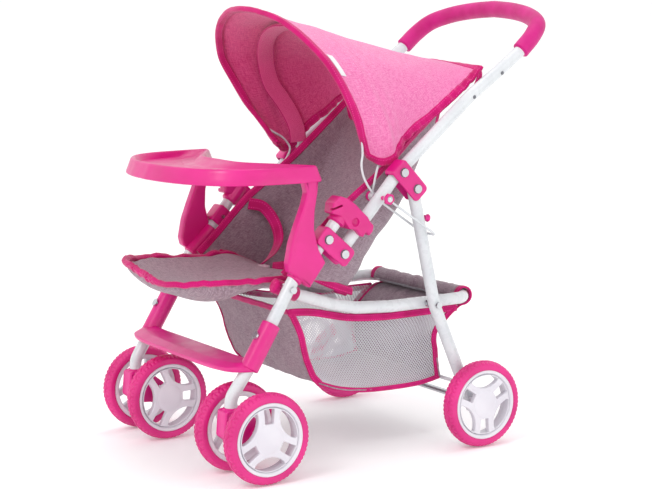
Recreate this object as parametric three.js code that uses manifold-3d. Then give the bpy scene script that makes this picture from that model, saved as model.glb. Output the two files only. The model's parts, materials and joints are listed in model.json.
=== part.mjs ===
// Folding doll stroller. Millimetres, X to its left, -Y forward, Z up, floor at Z 0.
import * as THREE from "three";
import { mergeVertices } from "three/addons/utils/BufferGeometryUtils.js";
import Module from "manifold-3d";

const wasm = await Module();
wasm.setup();

// Driving dimensions
const GAP = 0.3; // between pieces that touch
const TUBE_R = 8;
const PIN_R = 2.8;
const PIN_HOLE_R = 3.3;
const PIN_HEAD_R = 5.5;
const AXLE_R = 4;
const WIRE_R = 1.75;

const WHEEL_R = 57.5;
const WHEEL_WIDTH = 22;
const TYRE_INNER_R = 46;
const RIM_INNER_R = 39;
const HUB_R = 20;
const WHEEL_FACETS = 20;

const CASTER_X = 134; // caster centre, each side
const CASTER_SPREAD = 38; // wheel centre from caster centre
const SWIVEL_Y = -227;
const FRONT_AXLE_Y = -199;
const REAR_AXLE_Y = 130;
const REAR_WHEEL_X = 168;

const LEG_X = 138; // front legs, brackets and rear legs
const HANDLE_X = 136;
const SIDE_X = 115; // the basket's U tube
const FOLD_PIVOT = [-70.3, 270.8]; // Y, Z of the hinges that follow
const LEG_PIN = [-93.5, 291];
const HANDLE_PIN = [20, 368];
const REAR_LEG_PIVOT = [40.5, 345.9];
const SIDE_PIVOT = [-145, 232];
const SIDE_STOP = [75, 191]; // the linkage's fourth pivot, at the rear leg
const CANOPY_PIVOT = [-9.5, 337];

const COLOUR = {
  magenta: 0xd9157a,
  darkMagenta: 0xb50f62,
  pink: 0xf291bd,
  grey: 0xb3a4a8,
  tube: 0xeeeef2,
  rim: 0xf6f4f8,
  chrome: 0xc9ccd2,
  white: 0xf4f2f2,
};
const material = (color, roughness, metalness = 0) =>
  new THREE.MeshStandardMaterial({ color, roughness, metalness });
const FINISH = {
  plastic: material(COLOUR.magenta, 0.42),
  tyre: material(COLOUR.magenta, 0.55),
  foam: material(COLOUR.magenta, 0.8),
  binding: material(COLOUR.darkMagenta, 0.85),
  canopy: material(COLOUR.pink, 0.9),
  cloth: material(COLOUR.grey, 0.9),
  tube: material(COLOUR.tube, 0.35, 0.3),
  rim: material(COLOUR.rim, 0.4),
  chrome: material(COLOUR.chrome, 0.2, 0.9),
  buckle: material(COLOUR.white, 0.4),
};

const stroller = new THREE.Group();
function add(name, geometry, finish) {
  const mesh = new THREE.Mesh(geometry, finish.clone());
  mesh.name = name;
  stroller.add(mesh);
}

// Joining and cutting
function solid(geometry) {
  const bare = geometry.clone().deleteAttribute("normal").deleteAttribute("uv");
  const merged = mergeVertices(bare, 1e-4);
  const triVerts = new Uint32Array(merged.index.array);
  const vertProperties = merged.attributes.position.array;
  return new wasm.Manifold(new wasm.Mesh({ numProp: 3, vertProperties, triVerts }));
}
function geometryOf(body) {
  const { vertProperties, triVerts } = body.getMesh();
  const geometry = new THREE.BufferGeometry();
  geometry.setAttribute("position", new THREE.BufferAttribute(vertProperties, 3));
  geometry.setIndex(new THREE.BufferAttribute(triVerts, 1));
  return geometry;
}
const join = (first, ...rest) =>
  geometryOf(rest.reduce((body, next) => body.add(solid(next)), solid(first)));
const cut = (first, ...tools) =>
  geometryOf(tools.reduce((body, tool) => body.subtract(solid(tool)), solid(first)));

// A route whose stations a swept section visits exactly
class Route extends THREE.Curve {
  constructor(stations) {
    super();
    this.stations = stations;
  }
  getUtoTmapping(u) {
    return u;
  }
  getPoint(t, target = new THREE.Vector3()) {
    const place = t * (this.stations.length - 1);
    const i = Math.min(Math.floor(place), this.stations.length - 2);
    return target.lerpVectors(this.stations[i], this.stations[i + 1], place - i);
  }
  getTangent(t, target = new THREE.Vector3()) {
    const last = this.stations.length - 1;
    const i = Math.round(t * last);
    const here = this.stations[i];
    const before = this.stations[Math.max(i - 1, 0)];
    const after = this.stations[Math.min(i + 1, last)];
    const arriving = new THREE.Vector3().subVectors(here, before).normalize();
    target.subVectors(after, here).normalize().add(arriving);
    return target.normalize();
  }
}

const SIDES = [["left", 1], ["right", -1]];
const vec = (x, y, z) => new THREE.Vector3(x, y, z);
const mirrorX = (points) => points.map(([x, ...rest]) => [-x, ...rest]).toReversed();
// Half an outline or route that ends at X 0, and its mirror image after it
const bothSides = (half) => [...half, ...mirrorX(half).slice(1)];
const inPlane = (x, points) => points.map(([y, z]) => vec(x, y, z));

// Corners of a bent tube replaced by arcs
function bend(points, radius, stepDegrees = 25) {
  const out = [points[0]];
  for (let i = 1; i < points.length - 1; i++) {
    const arriving = points[i].clone().sub(points[i - 1]);
    const leaving = points[i + 1].clone().sub(points[i]);
    const room = 0.49 * Math.min(arriving.length(), leaving.length());
    arriving.normalize();
    leaving.normalize();
    const turn = arriving.angleTo(leaving);
    const r = Math.min(radius, room / Math.tan(turn / 2));
    const start = points[i].clone().addScaledVector(arriving, -r * Math.tan(turn / 2));
    const inward = leaving.clone().addScaledVector(arriving, -Math.cos(turn)).normalize();
    const steps = Math.max(1, Math.round((turn * 180) / Math.PI / stepDegrees));
    for (let k = 0; k <= steps; k++) {
      const a = (turn * k) / steps;
      const forward = start.clone().addScaledVector(arriving, r * Math.sin(a));
      out.push(forward.addScaledVector(inward, r * (1 - Math.cos(a))));
    }
  }
  out.push(points[points.length - 1]);
  return out;
}

const circle = (radius, sides) =>
  Array.from({ length: sides }, (_, k) => {
    const a = (2 * Math.PI * (k + 0.5)) / sides;
    return new THREE.Vector2(radius * Math.cos(a), radius * Math.sin(a));
  });
function sweep(section, stations) {
  const settings = { steps: stations.length - 1, bevelEnabled: false };
  return new THREE.ExtrudeGeometry(section, { ...settings, extrudePath: new Route(stations) });
}
const tube = (stations, radius = TUBE_R, sides = 8) =>
  sweep(new THREE.Shape(circle(radius, sides)), stations);
function sleeve(stations, radius, boreRadius, sides = 8) {
  const section = new THREE.Shape(circle(radius, sides));
  section.holes.push(new THREE.Path(circle(boreRadius, sides)));
  return sweep(section, stations);
}
function strap(stations, width, thickness) {
  const w = width / 2;
  const t = thickness / 2;
  const corners = [[-w, -t], [w, -t], [w, t], [-w, t]];
  return sweep(new THREE.Shape(corners.map(([a, b]) => new THREE.Vector2(a, b))), stations);
}

// An outline of Y, Z points with a thickness along X
function plate(outline, fromX, toX) {
  const shape = new THREE.Shape(outline.map(([y, z]) => new THREE.Vector2(y, z)));
  const geometry = new THREE.ExtrudeGeometry(shape, { depth: toX - fromX, bevelEnabled: false });
  geometry.applyMatrix4(new THREE.Matrix4().makeBasis(vec(0, 1, 0), vec(0, 0, 1), vec(1, 0, 0)));
  return geometry.translate(fromX, 0, 0);
}
// An outline of X, Y points with a height along Z
function slab(outline, fromZ, toZ) {
  const shape = new THREE.Shape(outline.map(([x, y]) => new THREE.Vector2(x, y)));
  const geometry = new THREE.ExtrudeGeometry(shape, { depth: toZ - fromZ, bevelEnabled: false });
  return geometry.translate(0, 0, fromZ);
}
// Outline around two points, round at both ends
function stadium([ay, az], [by, bz], radius, arcSteps = 6) {
  const heading = Math.atan2(bz - az, by - ay);
  const out = [];
  for (const [y, z, turn] of [[by, bz, -0.5], [ay, az, 0.5]])
    for (let k = 0; k <= arcSteps; k++) {
      const a = heading + Math.PI * (turn + k / arcSteps);
      out.push([y + radius * Math.cos(a), z + radius * Math.sin(a)]);
    }
  return out;
}
function rod(fromX, toX, [y, z], radius, sides = 8) {
  const geometry = new THREE.CylinderGeometry(radius, radius, toX - fromX, sides);
  return geometry.rotateZ(-Math.PI / 2).translate((fromX + toX) / 2, y, z);
}
// Profile of radius, X points turned about the X axis, with a flat facet underneath
function turned(profile, sides) {
  const points = profile.map(([r, x]) => new THREE.Vector2(r, x));
  const geometry = new THREE.LatheGeometry(points, sides);
  return geometry.rotateZ(-Math.PI / 2).rotateX(Math.PI / sides);
}
const mirrored = (side, fromX, toX) => (side > 0 ? [fromX, toX] : [-toX, -fromX]);

// A skin of even thickness behind a grid of points
function skin(rows, thickness) {
  const across = rows[0].length;
  const at = (i, k) => {
    const row = rows[Math.min(Math.max(i, 0), rows.length - 1)];
    return row[Math.min(Math.max(k, 0), across - 1)];
  };
  const front = rows.flat();
  const back = front.map((point, n) => {
    const i = Math.floor(n / across);
    const k = n % across;
    const along = at(i + 1, k).clone().sub(at(i - 1, k));
    const aside = at(i, k + 1).clone().sub(at(i, k - 1));
    return point.clone().addScaledVector(along.cross(aside).normalize(), thickness);
  });
  const index = [];
  const quad = (a, b, c, d) => index.push(a, b, c, a, c, d);
  const total = front.length;
  for (let i = 0; i < rows.length - 1; i++)
    for (let k = 0; k < across - 1; k++) {
      const a = i * across + k;
      quad(a, a + 1, a + across + 1, a + across);
      quad(total + a, total + a + across, total + a + across + 1, total + a + 1);
    }
  const edge = [];
  for (let k = 0; k < across - 1; k++) edge.push(k);
  for (let i = 0; i < rows.length - 1; i++) edge.push(i * across + across - 1);
  for (let k = across - 1; k > 0; k--) edge.push((rows.length - 1) * across + k);
  for (let i = rows.length - 1; i > 0; i--) edge.push(i * across);
  edge.forEach((a, n) => {
    const b = edge[(n + 1) % edge.length];
    quad(b, a, total + a, total + b);
  });
  return outward([...front, ...back], index);
}
// A body through rings of points, capped at both ends
function loft(rings) {
  const count = rings[0].length;
  const index = [];
  for (let i = 0; i < rings.length - 1; i++)
    for (let k = 0; k < count; k++) {
      const a = i * count + k;
      const b = i * count + ((k + 1) % count);
      index.push(a, b, b + count, a, b + count, a + count);
    }
  const base = (rings.length - 1) * count;
  for (const [a, b, c] of capFaces(rings[0])) index.push(a, c, b);
  for (const face of capFaces(rings[rings.length - 1])) index.push(...face.map((n) => base + n));
  return outward(rings.flat(), index);
}
const capFaces = (ring) =>
  THREE.ShapeUtils.triangulateShape(ring.map((p) => new THREE.Vector2(p.x, p.y)), []);
// Geometry whose faces are turned out
function outward(points, index) {
  let volume = 0;
  for (let n = 0; n < index.length; n += 3) {
    const [a, b, c] = [points[index[n]], points[index[n + 1]], points[index[n + 2]]];
    volume += a.dot(b.clone().cross(c));
  }
  const faces = volume > 0 ? index : index.toReversed();
  const geometry = new THREE.BufferGeometry().setFromPoints(points);
  geometry.setIndex(faces);
  return geometry;
}

// Wheels
function tyre() {
  const outer = WHEEL_R / Math.cos(Math.PI / WHEEL_FACETS);
  const inner = TYRE_INNER_R + GAP;
  const half = WHEEL_WIDTH / 2;
  const shoulder = 4;
  const profile = [
    [inner, -half],
    [outer - shoulder, -half],
    [outer, -half + shoulder],
    [outer, half - shoulder],
    [outer - shoulder, half],
    [inner, half],
    [inner, -half],
  ];
  return turned(profile, WHEEL_FACETS);
}
// Rim with a round cap over a blind bore, three pairs of ribs and open windows between
const RIB_PAIRS = 3;
const RIB = { thick: 6, wide: 4.5, apart: 9, x: 7, overlap: 3 };
const HUB_BACK_X = 4; // the wide cap's inner face
const HUB_WALL = 5;
function rim() {
  const half = WHEEL_WIDTH / 2 - 1;
  const ring = [
    [RIM_INNER_R, -half],
    [TYRE_INNER_R, -half],
    [TYRE_INNER_R, half],
    [RIM_INNER_R, half],
    [RIM_INNER_R, -half],
  ];
  const bore = AXLE_R + 0.4;
  const hub = [
    [bore, -half - 2],
    [bore + HUB_WALL, -half - 2],
    [bore + HUB_WALL, HUB_BACK_X],
    [HUB_R, HUB_BACK_X],
    [HUB_R, half + 1],
    [0, half + 1],
    [0, half - 3],
    [bore, half - 3],
    [bore, -half - 2],
  ];
  const ribs = [];
  const reach = RIM_INNER_R + RIB.overlap;
  for (let pair = 0; pair < RIB_PAIRS; pair++)
    for (const side of [-1, 1]) {
      const rib = new THREE.BoxGeometry(RIB.thick, RIB.wide, reach - bore);
      rib.translate(RIB.x, side * RIB.apart, (reach + bore) / 2);
      ribs.push(rib.rotateX((2 * Math.PI * pair) / RIB_PAIRS));
    }
  return join(turned(ring, WHEEL_FACETS), turned(hub, 12), ...ribs);
}
function wheel(name, x, y, outwardSide) {
  const turn = outwardSide > 0 ? 0 : Math.PI;
  add(`${name}_tyre`, tyre().rotateZ(turn).translate(x, y, WHEEL_R), FINISH.tyre);
  add(`${name}_rim`, rim().rotateZ(turn).translate(x, y, WHEEL_R), FINISH.rim);
}

// Front casters: a housing on the leg's lower end, an axle and two wheels
const HOUSING = [
  [-243, 58], [-240, 89], [-236, 91], [-217, 91], [-204, 82],
  [-189, 70], [-187, 52], [-203, 45], [-230, 47],
];
const HOUSING_HALF = 12;
const HUB_BOSS = { radius: 9, half: 25 };
const SOCKET_FLOOR = 79;
function caster(label, side) {
  const x = side * CASTER_X;
  const hub = [FRONT_AXLE_Y, WHEEL_R];
  const body = plate(HOUSING, x - HOUSING_HALF, x + HOUSING_HALF);
  const boss = rod(x - HUB_BOSS.half, x + HUB_BOSS.half, hub, HUB_BOSS.radius, 12);
  const socket = tube(inPlane(x, [[SWIVEL_Y, SOCKET_FLOOR], [SWIVEL_Y, 104]]), TUBE_R + 1);
  const bore = rod(x - 30, x + 30, hub, AXLE_R + GAP);
  add(`caster_housing_${label}`, cut(join(body, boss), socket, bore), FINISH.plastic);
  const reach = CASTER_SPREAD + 6;
  add(`front_axle_${label}`, rod(x - reach, x + reach, hub, AXLE_R), FINISH.chrome);
  for (const [place, way] of [["inner", -side], ["outer", side]])
    wheel(`front_${place}_${label}`, x + way * CASTER_SPREAD, FRONT_AXLE_Y, way);
}

// Front leg: gooseneck at the foot, straight through the footrest, set back behind the tray arm
const LEG_FOOT = [[SWIVEL_Y, 80], [SWIVEL_Y, 104], [-197, 148]];
const LEG_TOP = [[-139, 243], [-113, 267], [-93.5, 291], [-63, 327]];
function legStations(side) {
  const foot = inPlane(side * CASTER_X, LEG_FOOT.slice(0, 2));
  const rest = inPlane(side * LEG_X, [LEG_FOOT[2], ...LEG_TOP]);
  return bend([...foot, ...rest], 20);
}
const pinHole = (side, at) => rod(...mirrored(side, 95, 165), at, PIN_HOLE_R);
function frontLeg(label, side) {
  const holes = [LEG_PIN, SIDE_PIVOT].map((at) => pinHole(side, at));
  add(`front_leg_${label}`, cut(tube(legStations(side)), ...holes), FINISH.tube);
}

// Footrest: a straight shelf with forward horns, between two sleeves on the legs
const SHELF_FRONT = [[0, -238], [70, -236], [120, -228], [136, -218], [146, -204]];
const SHELF_BACK = [[146, -199], [118, -198], [70, -197], [0, -197]];
const SHELF_Z = [135, 149];
const FOOTREST_SLEEVE = [[-203, 138.8], [-171, 190.2]];
const FOOTREST_SLEEVE_R = 12;
const LEG_BORE_R = TUBE_R + GAP + 0.2;
function footrest() {
  const half = [...SHELF_FRONT, ...SHELF_BACK];
  const shelf = slab([...half, ...mirrorX(half).slice(1, -1)], ...SHELF_Z);
  const boltHoles = SIDES.map(([, side]) => footrestShank(side, PIN_R + GAP));
  const sleeves = SIDES.map(([, side]) => tube(inPlane(side * LEG_X, FOOTREST_SLEEVE), FOOTREST_SLEEVE_R));
  const bores = SIDES.map(([, side]) => tube(legStations(side), LEG_BORE_R));
  return cut(join(shelf, ...sleeves), ...bores, ...boltHoles);
}
// Bolts in the front of the sleeves, square to the leg
const FOOTREST_BOLT = [-182, 172.5];
const LEG_SLOPE = Math.atan2(243 - 148, -139 + 197);
function acrossLeg(side, from, to, radius, sides) {
  const geometry = new THREE.CylinderGeometry(radius, radius, to - from, sides);
  geometry.translate(0, (from + to) / 2, 0).rotateX(LEG_SLOPE + Math.PI / 2);
  return geometry.translate(side * LEG_X, ...FOOTREST_BOLT);
}
const footrestShank = (side, radius) => acrossLeg(side, TUBE_R + GAP, 14, radius, 8);
const footrestBolt = (side) =>
  join(footrestShank(side, PIN_R), acrossLeg(side, FOOTREST_SLEEVE_R + GAP, 14.6, PIN_HEAD_R, 10));

// Tray and its two arms, one moulding with a waist cut, a dished top and a shallow recess in the dish
const TRAY_TOP = 384;
const TRAY_BASE = 366;
const TRAY_RIM = 9; // width of the rim round the dish
const DISH_FLOOR = 375;
const RECESS_FLOOR = 372;
const ARM_X = [127, 150];
const TRAY_SIDE = [[150, -104], [152, -150], [146, -195], [125, -232], [88, -256], [45, -268]];
const TRAY_WAIST = [[50, -154], [90, -130], [120, -110]];
const RECESS_SIDE = [[118, -150], [120, -178], [105, -212], [75, -232], [38, -242]];
const RECESS_WAIST = [[52, -184], [92, -162]];
// Clockwise: down the left side, round the front and back along the waist
function trayShape(side, frontY, waist, waistY) {
  return [...bothSides([...side, [0, frontY]]), ...mirrorX(waist), [0, waistY], ...waist];
}
// A clockwise outline moved inward
function inset(outline, distance) {
  return outline.map(([x, y], i) => {
    const [ax, ay] = outline.at(i - 1);
    const [bx, by] = outline[(i + 1) % outline.length];
    const arriving = new THREE.Vector2(x - ax, y - ay).normalize();
    const leaving = new THREE.Vector2(bx - x, by - y).normalize();
    const reach = distance / (1 + arriving.dot(leaving));
    return [x + (arriving.y + leaving.y) * reach, y - (arriving.x + leaving.x) * reach];
  });
}
const UPPER_ARM = [
  [-104, 372], [-113, 345], [-115, 305], [-112, 285], [-153, 280],
  [-153, 290], [-146, 321], [-136, 350], [-136, 372],
];
const LOWER_ARM = [[-114, 295], [-110, 285], [-98, 262], [-120, 235], [-150, 256], [-153, 290]];
function tray() {
  const arms = SIDES.flatMap(([, side]) => [
    plate(UPPER_ARM, ...mirrored(side, ARM_X[0] + 8, ARM_X[1])),
    plate(LOWER_ARM, ...mirrored(side, ...ARM_X)),
  ]);
  const bores = SIDES.map(([, side]) => tube(legStations(side), LEG_BORE_R));
  const outline = trayShape(TRAY_SIDE, -272, TRAY_WAIST, -157);
  const recessOutline = trayShape(RECESS_SIDE, -245, RECESS_WAIST, -188);
  const dish = slab(inset(outline, TRAY_RIM), DISH_FLOOR, TRAY_TOP + 5);
  const recess = slab(recessOutline, RECESS_FLOOR, TRAY_TOP + 5);
  const body = join(slab(outline, TRAY_BASE, TRAY_TOP), ...arms);
  return cut(body, dish, recess, ...bores);
}

// Brackets: two cheeks either side of the tubes, joined by a web in front of them
const CHEEK_X = [127, 149];
const TUBE_ROOM_X = [LEG_X - 10.5, LEG_X + 8.6];
const BRACKET_R = 13;
function bracket(side, ends, tubeDegrees) {
  const block = plate(stadium(...ends, BRACKET_R), ...mirrored(side, ...CHEEK_X));
  const a = (tubeDegrees * Math.PI) / 180;
  const corner = (along, front) => [
    ends[0][0] + along * Math.cos(a) - front * Math.sin(a),
    ends[0][1] + along * Math.sin(a) + front * Math.cos(a),
  ];
  const web = TUBE_R + 0.8;
  const room = [corner(-40, web), corner(-40, -70), corner(40, -70), corner(40, web)];
  const space = plate(room, ...mirrored(side, ...TUBE_ROOM_X));
  return cut(block, space, ...ends.map((at) => pinHole(side, at)));
}
const lowerBracket = (side) => bracket(side, [LEG_PIN, FOLD_PIVOT], 50);
const upperBracket = (side) => bracket(side, [HANDLE_PIN, REAR_LEG_PIVOT], 44);
function pin(side, at) {
  const shank = rod(...mirrored(side, 125.2, 150), at, PIN_R);
  const head = rod(...mirrored(side, CHEEK_X[1] + GAP, 151.8), at, PIN_HEAD_R, 10);
  return join(shank, head);
}

// Clip that caps the leg's top and hooks the handle tube when the frame is open
const CLIP_PLATE = [
  [-88.6, 323], [-86.7, 336.6], [-76.3, 344.7], [-64, 340.3], [-53, 332.2], [-43.2, 322.6], [-35.5, 315.5],
  [-26.5, 304], [-28, 296.5], [-33.5, 291], [-48.5, 293.5], [-53.5, 300.5], [-63, 301.6], [-76, 319.4],
];
const CLIP_WEB = [[-72, 322], [-62, 334], [-51, 323], [-41.5, 314], [-51.5, 304]];
const CLIP_X = [130, 146.8, 148, 150.5]; // web from and plate from, web to and plate to
const CLIP_CAP = [[-75.5, 312.2], [-57.5, 333.5]];
const CLIP_CAP_R = 11.5;
const CLIP_ROOM_R = TUBE_R + 0.6;
function foldClip(side) {
  const [webFrom, plateFrom, webTo, plateTo] = CLIP_X;
  const body = plate(CLIP_PLATE, ...mirrored(side, plateFrom, plateTo));
  const cap = tube(inPlane(side * LEG_X, CLIP_CAP), CLIP_CAP_R);
  const web = plate(CLIP_WEB, ...mirrored(side, webFrom, webTo));
  const legBore = tube(inPlane(side * LEG_X, [LEG_PIN, [-62.4, 327.7]]), CLIP_ROOM_R);
  const handleBore = tube(inPlane(side * HANDLE_X, [FOLD_PIVOT, HANDLE_PIN]), CLIP_ROOM_R);
  return cut(join(body, cap, web), legBore, handleBore);
}

// Handle: two side tubes and the arched grip bar, one bent tube
const GRIP_START = [216, 518.6];
const GRIP_SLOPE = (41.5 * Math.PI) / 180;
const GRIP_ARCH = [[136, 0], [134, 26], [122, 50], [88, 66], [45, 75], [0, 79]];
function archPoint(x, along) {
  const y = GRIP_START[0] + along * Math.cos(GRIP_SLOPE);
  return vec(x, y, GRIP_START[1] + along * Math.sin(GRIP_SLOPE));
}
function handleStations() {
  const halfTube = inPlane(HANDLE_X, [[-75, 265.6], HANDLE_PIN, [134, 462], [179, 492]]);
  const arch = GRIP_ARCH.map(([x, along]) => archPoint(x, along));
  const half = bend([...halfTube, ...arch], 25);
  return bothSides(half.map((p) => [p.x, p.y, p.z])).map((p) => vec(...p));
}
function handle() {
  const holes = SIDES.flatMap(([, side]) =>
    [FOLD_PIVOT, HANDLE_PIN, CANOPY_PIVOT].map((at) => pinHole(side, at))
  );
  return cut(tube(handleStations()), ...holes);
}
function grip() {
  const [x, along] = GRIP_ARCH[0];
  const arch = handleStations().filter((p) => p.y > GRIP_START[0] + 3);
  const stations = [archPoint(x, along), ...arch, archPoint(-x, along)];
  return sleeve(stations, 11.5, TUBE_R + 0.5);
}

// Rear frame: legs, axle, cross wire and the catch knob
const REAR_LEG_FOOT = [5, 134, 46]; // how far it splays, Y, Z
const REAR_LEG_TOP = 5; // above its pivot
const CROSS_WIRE = [120.5, 80];
const CROSS_WIRE_R = WIRE_R + 0.75;
function rearLeg(side) {
  const [splay, ...foot] = REAR_LEG_FOOT;
  const line = [...inPlane(side * LEG_X, [REAR_LEG_PIVOT, SIDE_STOP]), vec(side * (LEG_X + splay), ...foot)];
  const stations = bend(line, 60, 10);
  const upper = stations[0].clone().sub(stations[1]).setLength(REAR_LEG_TOP).add(stations[0]);
  const leg = tube([upper, ...stations.slice(1)]);
  const axleHole = rod(-200, 200, [REAR_AXLE_Y, WHEEL_R], AXLE_R + GAP);
  const wireHole = rod(-160, 160, CROSS_WIRE, CROSS_WIRE_R + GAP, 8);
  return cut(leg, pinHole(side, REAR_LEG_PIVOT), pinHole(side, SIDE_STOP), axleHole, wireHole);
}

// Bolts that hold the side tube: head outside, a spacer between the tubes
function sideBolt(side, at, innerEnd) {
  const shank = rod(...mirrored(side, innerEnd, 149), at, PIN_R);
  const head = rod(...mirrored(side, 147, 150.4), at, PIN_HEAD_R - 1);
  const spacer = rod(...mirrored(side, 123.8, 129.4), at, PIN_HEAD_R, 10);
  return join(shank, head, spacer);
}

// Side tube: one U, from the front legs back along the basket and across
const SIDE_ROUTE = [[-150, 233], [-118, 219], [-71, 203], [-33, 194], [21, 190.5], [105, 190.5], [148, 191]];
function sideTube() {
  const left = inPlane(SIDE_X, SIDE_ROUTE);
  const right = inPlane(-SIDE_X, SIDE_ROUTE).toReversed();
  const holes = SIDES.map(([, side]) => pinHole(side, SIDE_PIVOT));
  return cut(tube(bend([...left, ...right], 40)), ...holes);
}

// Wire catch round the rear leg, pivoted on the handle tube
const CATCH_WIRE_R = 1.5;
const CATCH_END = [66.5, 285];
const CATCH_OUT_X = 154.5;
const CATCH_IN_X = 122;
const EYE_R = 5.5; // of a wire bent round a screw
function catchLoop() {
  const end = (x) => vec(x, ...CATCH_END);
  const eye = (x) => vec(x, ...CANOPY_PIVOT);
  const route = [eye(CATCH_OUT_X), end(CATCH_OUT_X), end(CATCH_IN_X), eye(CATCH_IN_X)];
  const wire = tube(bend(route, 8, 45), CATCH_WIRE_R, 8);
  const eyes = [CATCH_OUT_X, CATCH_IN_X].map((x) =>
    rod(x - CATCH_WIRE_R, x + CATCH_WIRE_R, CANOPY_PIVOT, EYE_R, 10)
  );
  return cut(join(wire, ...eyes), pinHole(1, CANOPY_PIVOT));
}
// Screw, nut and round knob through the handle tube
function canopyPivot(side) {
  const shank = rod(...mirrored(side, 115, 161), CANOPY_PIVOT, PIN_R);
  const nut = rod(...mirrored(side, 156.8, 161), CANOPY_PIVOT, 7.5, 6);
  const knob = rod(...mirrored(side, 113, 117.1), CANOPY_PIVOT, 6.5, 12);
  return join(shank, nut, knob);
}
function catchKnob() {
  const stem = new THREE.CylinderGeometry(5, 3.5, 6, 12);
  return stem.rotateX(Math.PI / 2).translate(LEG_X, 61.9, 306);
}

// Canopy bows: wire hoops from the pivot. The right foot of each leans back further than the left one
const BOW_WIRE_R = WIRE_R - 0.25;
const FRONT_HOOP = [
  [134.4, -40.9, 437.9], [139, -54.4, 460.1], [140.6, -68.2, 482.7], [138.2, -82.5, 504.4],
  [126, -94.4, 523.8], [108.9, -104.7, 540.7], [88.5, -112.8, 554.6], [65.5, -119.2, 564.5],
  [41, -125, 571], [15.6, -129.3, 574.2], [0, -130.2, 574.9],
];
const FRONT_LEFT_FOOT = [
  [125.3, ...CANOPY_PIVOT], [125.3, -14, 344], [123.5, -19, 352], [120.5, -23.4, 364],
  [118.5, -25, 378], [119, -23.5, 393], [125.5, -29.8, 416],
];
const FRONT_RIGHT_FOOT = [
  [-125.3, ...CANOPY_PIVOT], [-124.6, -1, 350], [-123, 3.2, 361], [-119.2, 8, 372],
  [-116.4, 8.5, 383], [-117, -2, 396], [-118, -17, 405], [-125.5, -29.8, 416],
];
const MID_HOOP = [
  [124, -15.6, 471.2], [115.8, -28.5, 500.2], [94.4, -41.6, 522.8], [70.2, -50.4, 537.9],
  [46.2, -56.2, 545.9], [25.2, -60.2, 549.8], [0, -62.8, 551.3],
];
const MID_LEFT_FOOT = [
  [118.8, ...CANOPY_PIVOT], [118.6, -3, 365], [116.3, 4.9, 383.4], [117.4, 9.9, 399.8],
  [118, 6.3, 421.5], [119.5, 2.5, 433], [124, -3, 448],
];
const MID_RIGHT_FOOT = [
  [-118.8, ...CANOPY_PIVOT], [-118.8, 10.5, 355.5], [-118.2, 21.5, 374], [-117.6, 23, 390],
  [-118.4, 21, 408], [-121.5, 15, 426], [-124.3, 2, 448],
];
function bow(leftFoot, hoop, rightFoot) {
  const route = [...leftFoot, ...bothSides(hoop), ...rightFoot.toReversed()];
  const wire = tube(route.map((p) => vec(...p)), BOW_WIRE_R, 8);
  const [footX] = leftFoot[0];
  const eyes = SIDES.map(([, side]) =>
    rod(...mirrored(side, footX - 1.3, footX + 1.3), CANOPY_PIVOT, EYE_R, 10)
  );
  return cut(join(wire, ...eyes), rod(-160, 160, CANOPY_PIVOT, PIN_HOLE_R));
}

// Canopy: one cloth stretched from the mouth back to a straight rear edge, with a lobe low on each side
const MOUTH = [
  [113, -13, 390], [118, -21.5, 400], [122.5, -27.5, 410], [127, -33.5, 420], [132, -39.3, 430],
  [136, -45.6, 440], [140, -54.6, 455], [142, -63.3, 470], [143, -72.6, 485], [142, -82.4, 500],
  [139, -88.7, 510], [133, -94.6, 520], [124, -100.8, 530], [114, -106.9, 540], [101, -112.9, 550],
  [84, -118.6, 560], [63, -124, 568], [36, -130, 574.5], [0, -134.5, 577.5],
];
const CANOPY_REAR = [[124, 159.5, 497], [60, 156, 501], [0, 154, 502.5]];
const CANOPY_LOW = [
  [113, -13, 390], [117, -8.5, 383.5], [120.5, -1, 378.8], [122.5, 8, 377.3], [124, 17, 379.3],
  [124.5, 24, 384.5], [123.5, 28.5, 392], [122.5, 34.5, 400], [122, 43.5, 408], [121.5, 58.5, 420],
  [122, 75.5, 430], [123, 89, 440], [124, 117, 460.7], [124, 139.5, 479], [124, 159.5, 497],
];
const CANOPY_SHARES = [0.04, 0.08, 0.13, 0.18, 0.23, 0.28, 0.35, 0.45, 0.58, 0.72, 0.86, 1]; // front to rear
const CANOPY_COLUMNS = 20;
const CANOPY_THICK = 3;
const LOW_REACH = 0.4; // how far up the side the lower edge pulls the cloth
const curve = (points) => new THREE.CatmullRomCurve3(points.map((p) => vec(...p)));
function canopy() {
  const mouth = curve(bothSides(MOUTH)).getSpacedPoints(CANOPY_COLUMNS);
  const rear = curve(bothSides(CANOPY_REAR)).getSpacedPoints(CANOPY_COLUMNS);
  const low = curve(CANOPY_LOW);
  const pull = (share) => Math.max(0, 1 - share / LOW_REACH) ** 2.2;
  const rows = CANOPY_SHARES.map((v) => {
    const [dx, dy, dz] = low.getPointAt(v).sub(mouth[0].clone().lerp(rear[0], v));
    return mouth.map((front, k) => {
      const left = pull(k / CANOPY_COLUMNS);
      const right = pull(1 - k / CANOPY_COLUMNS);
      const shift = vec(dx * (left - right), dy * (left + right), dz * (left + right));
      return front.clone().lerp(rear[k], v).add(shift);
    });
  });
  return skin(rows, -CANOPY_THICK);
}

// Seat: a sling back with wings up to the handle tubes, and a padded base with a front flap
const BACK_PANEL = [[-35, 215], [-18, 236], [5, 277], [36, 312], [67, 365], [98, 411]];
const BACK_WING = [[-132, 254], [-98, 287], [-66, 317], [-24, 347], [19, 378], [104, 448]];
// X, and how far from the panel's line to the wing's edge
const BACK_ACROSS = [[-113.5, 1], [-108, 0.85], [-106, 0.4], [-101, 0], [0, 0]];
const CLOTH_THICK = 3;
function seatBack() {
  const across = bothSides(BACK_ACROSS);
  const rows = BACK_PANEL.map(([y, z], i) => {
    const [wingY, wingZ] = BACK_WING[i];
    return across.map(([x, up]) => vec(x, y + (wingY - y) * up, z + (wingZ - z) * up));
  });
  return skin(rows, CLOTH_THICK);
}
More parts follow.
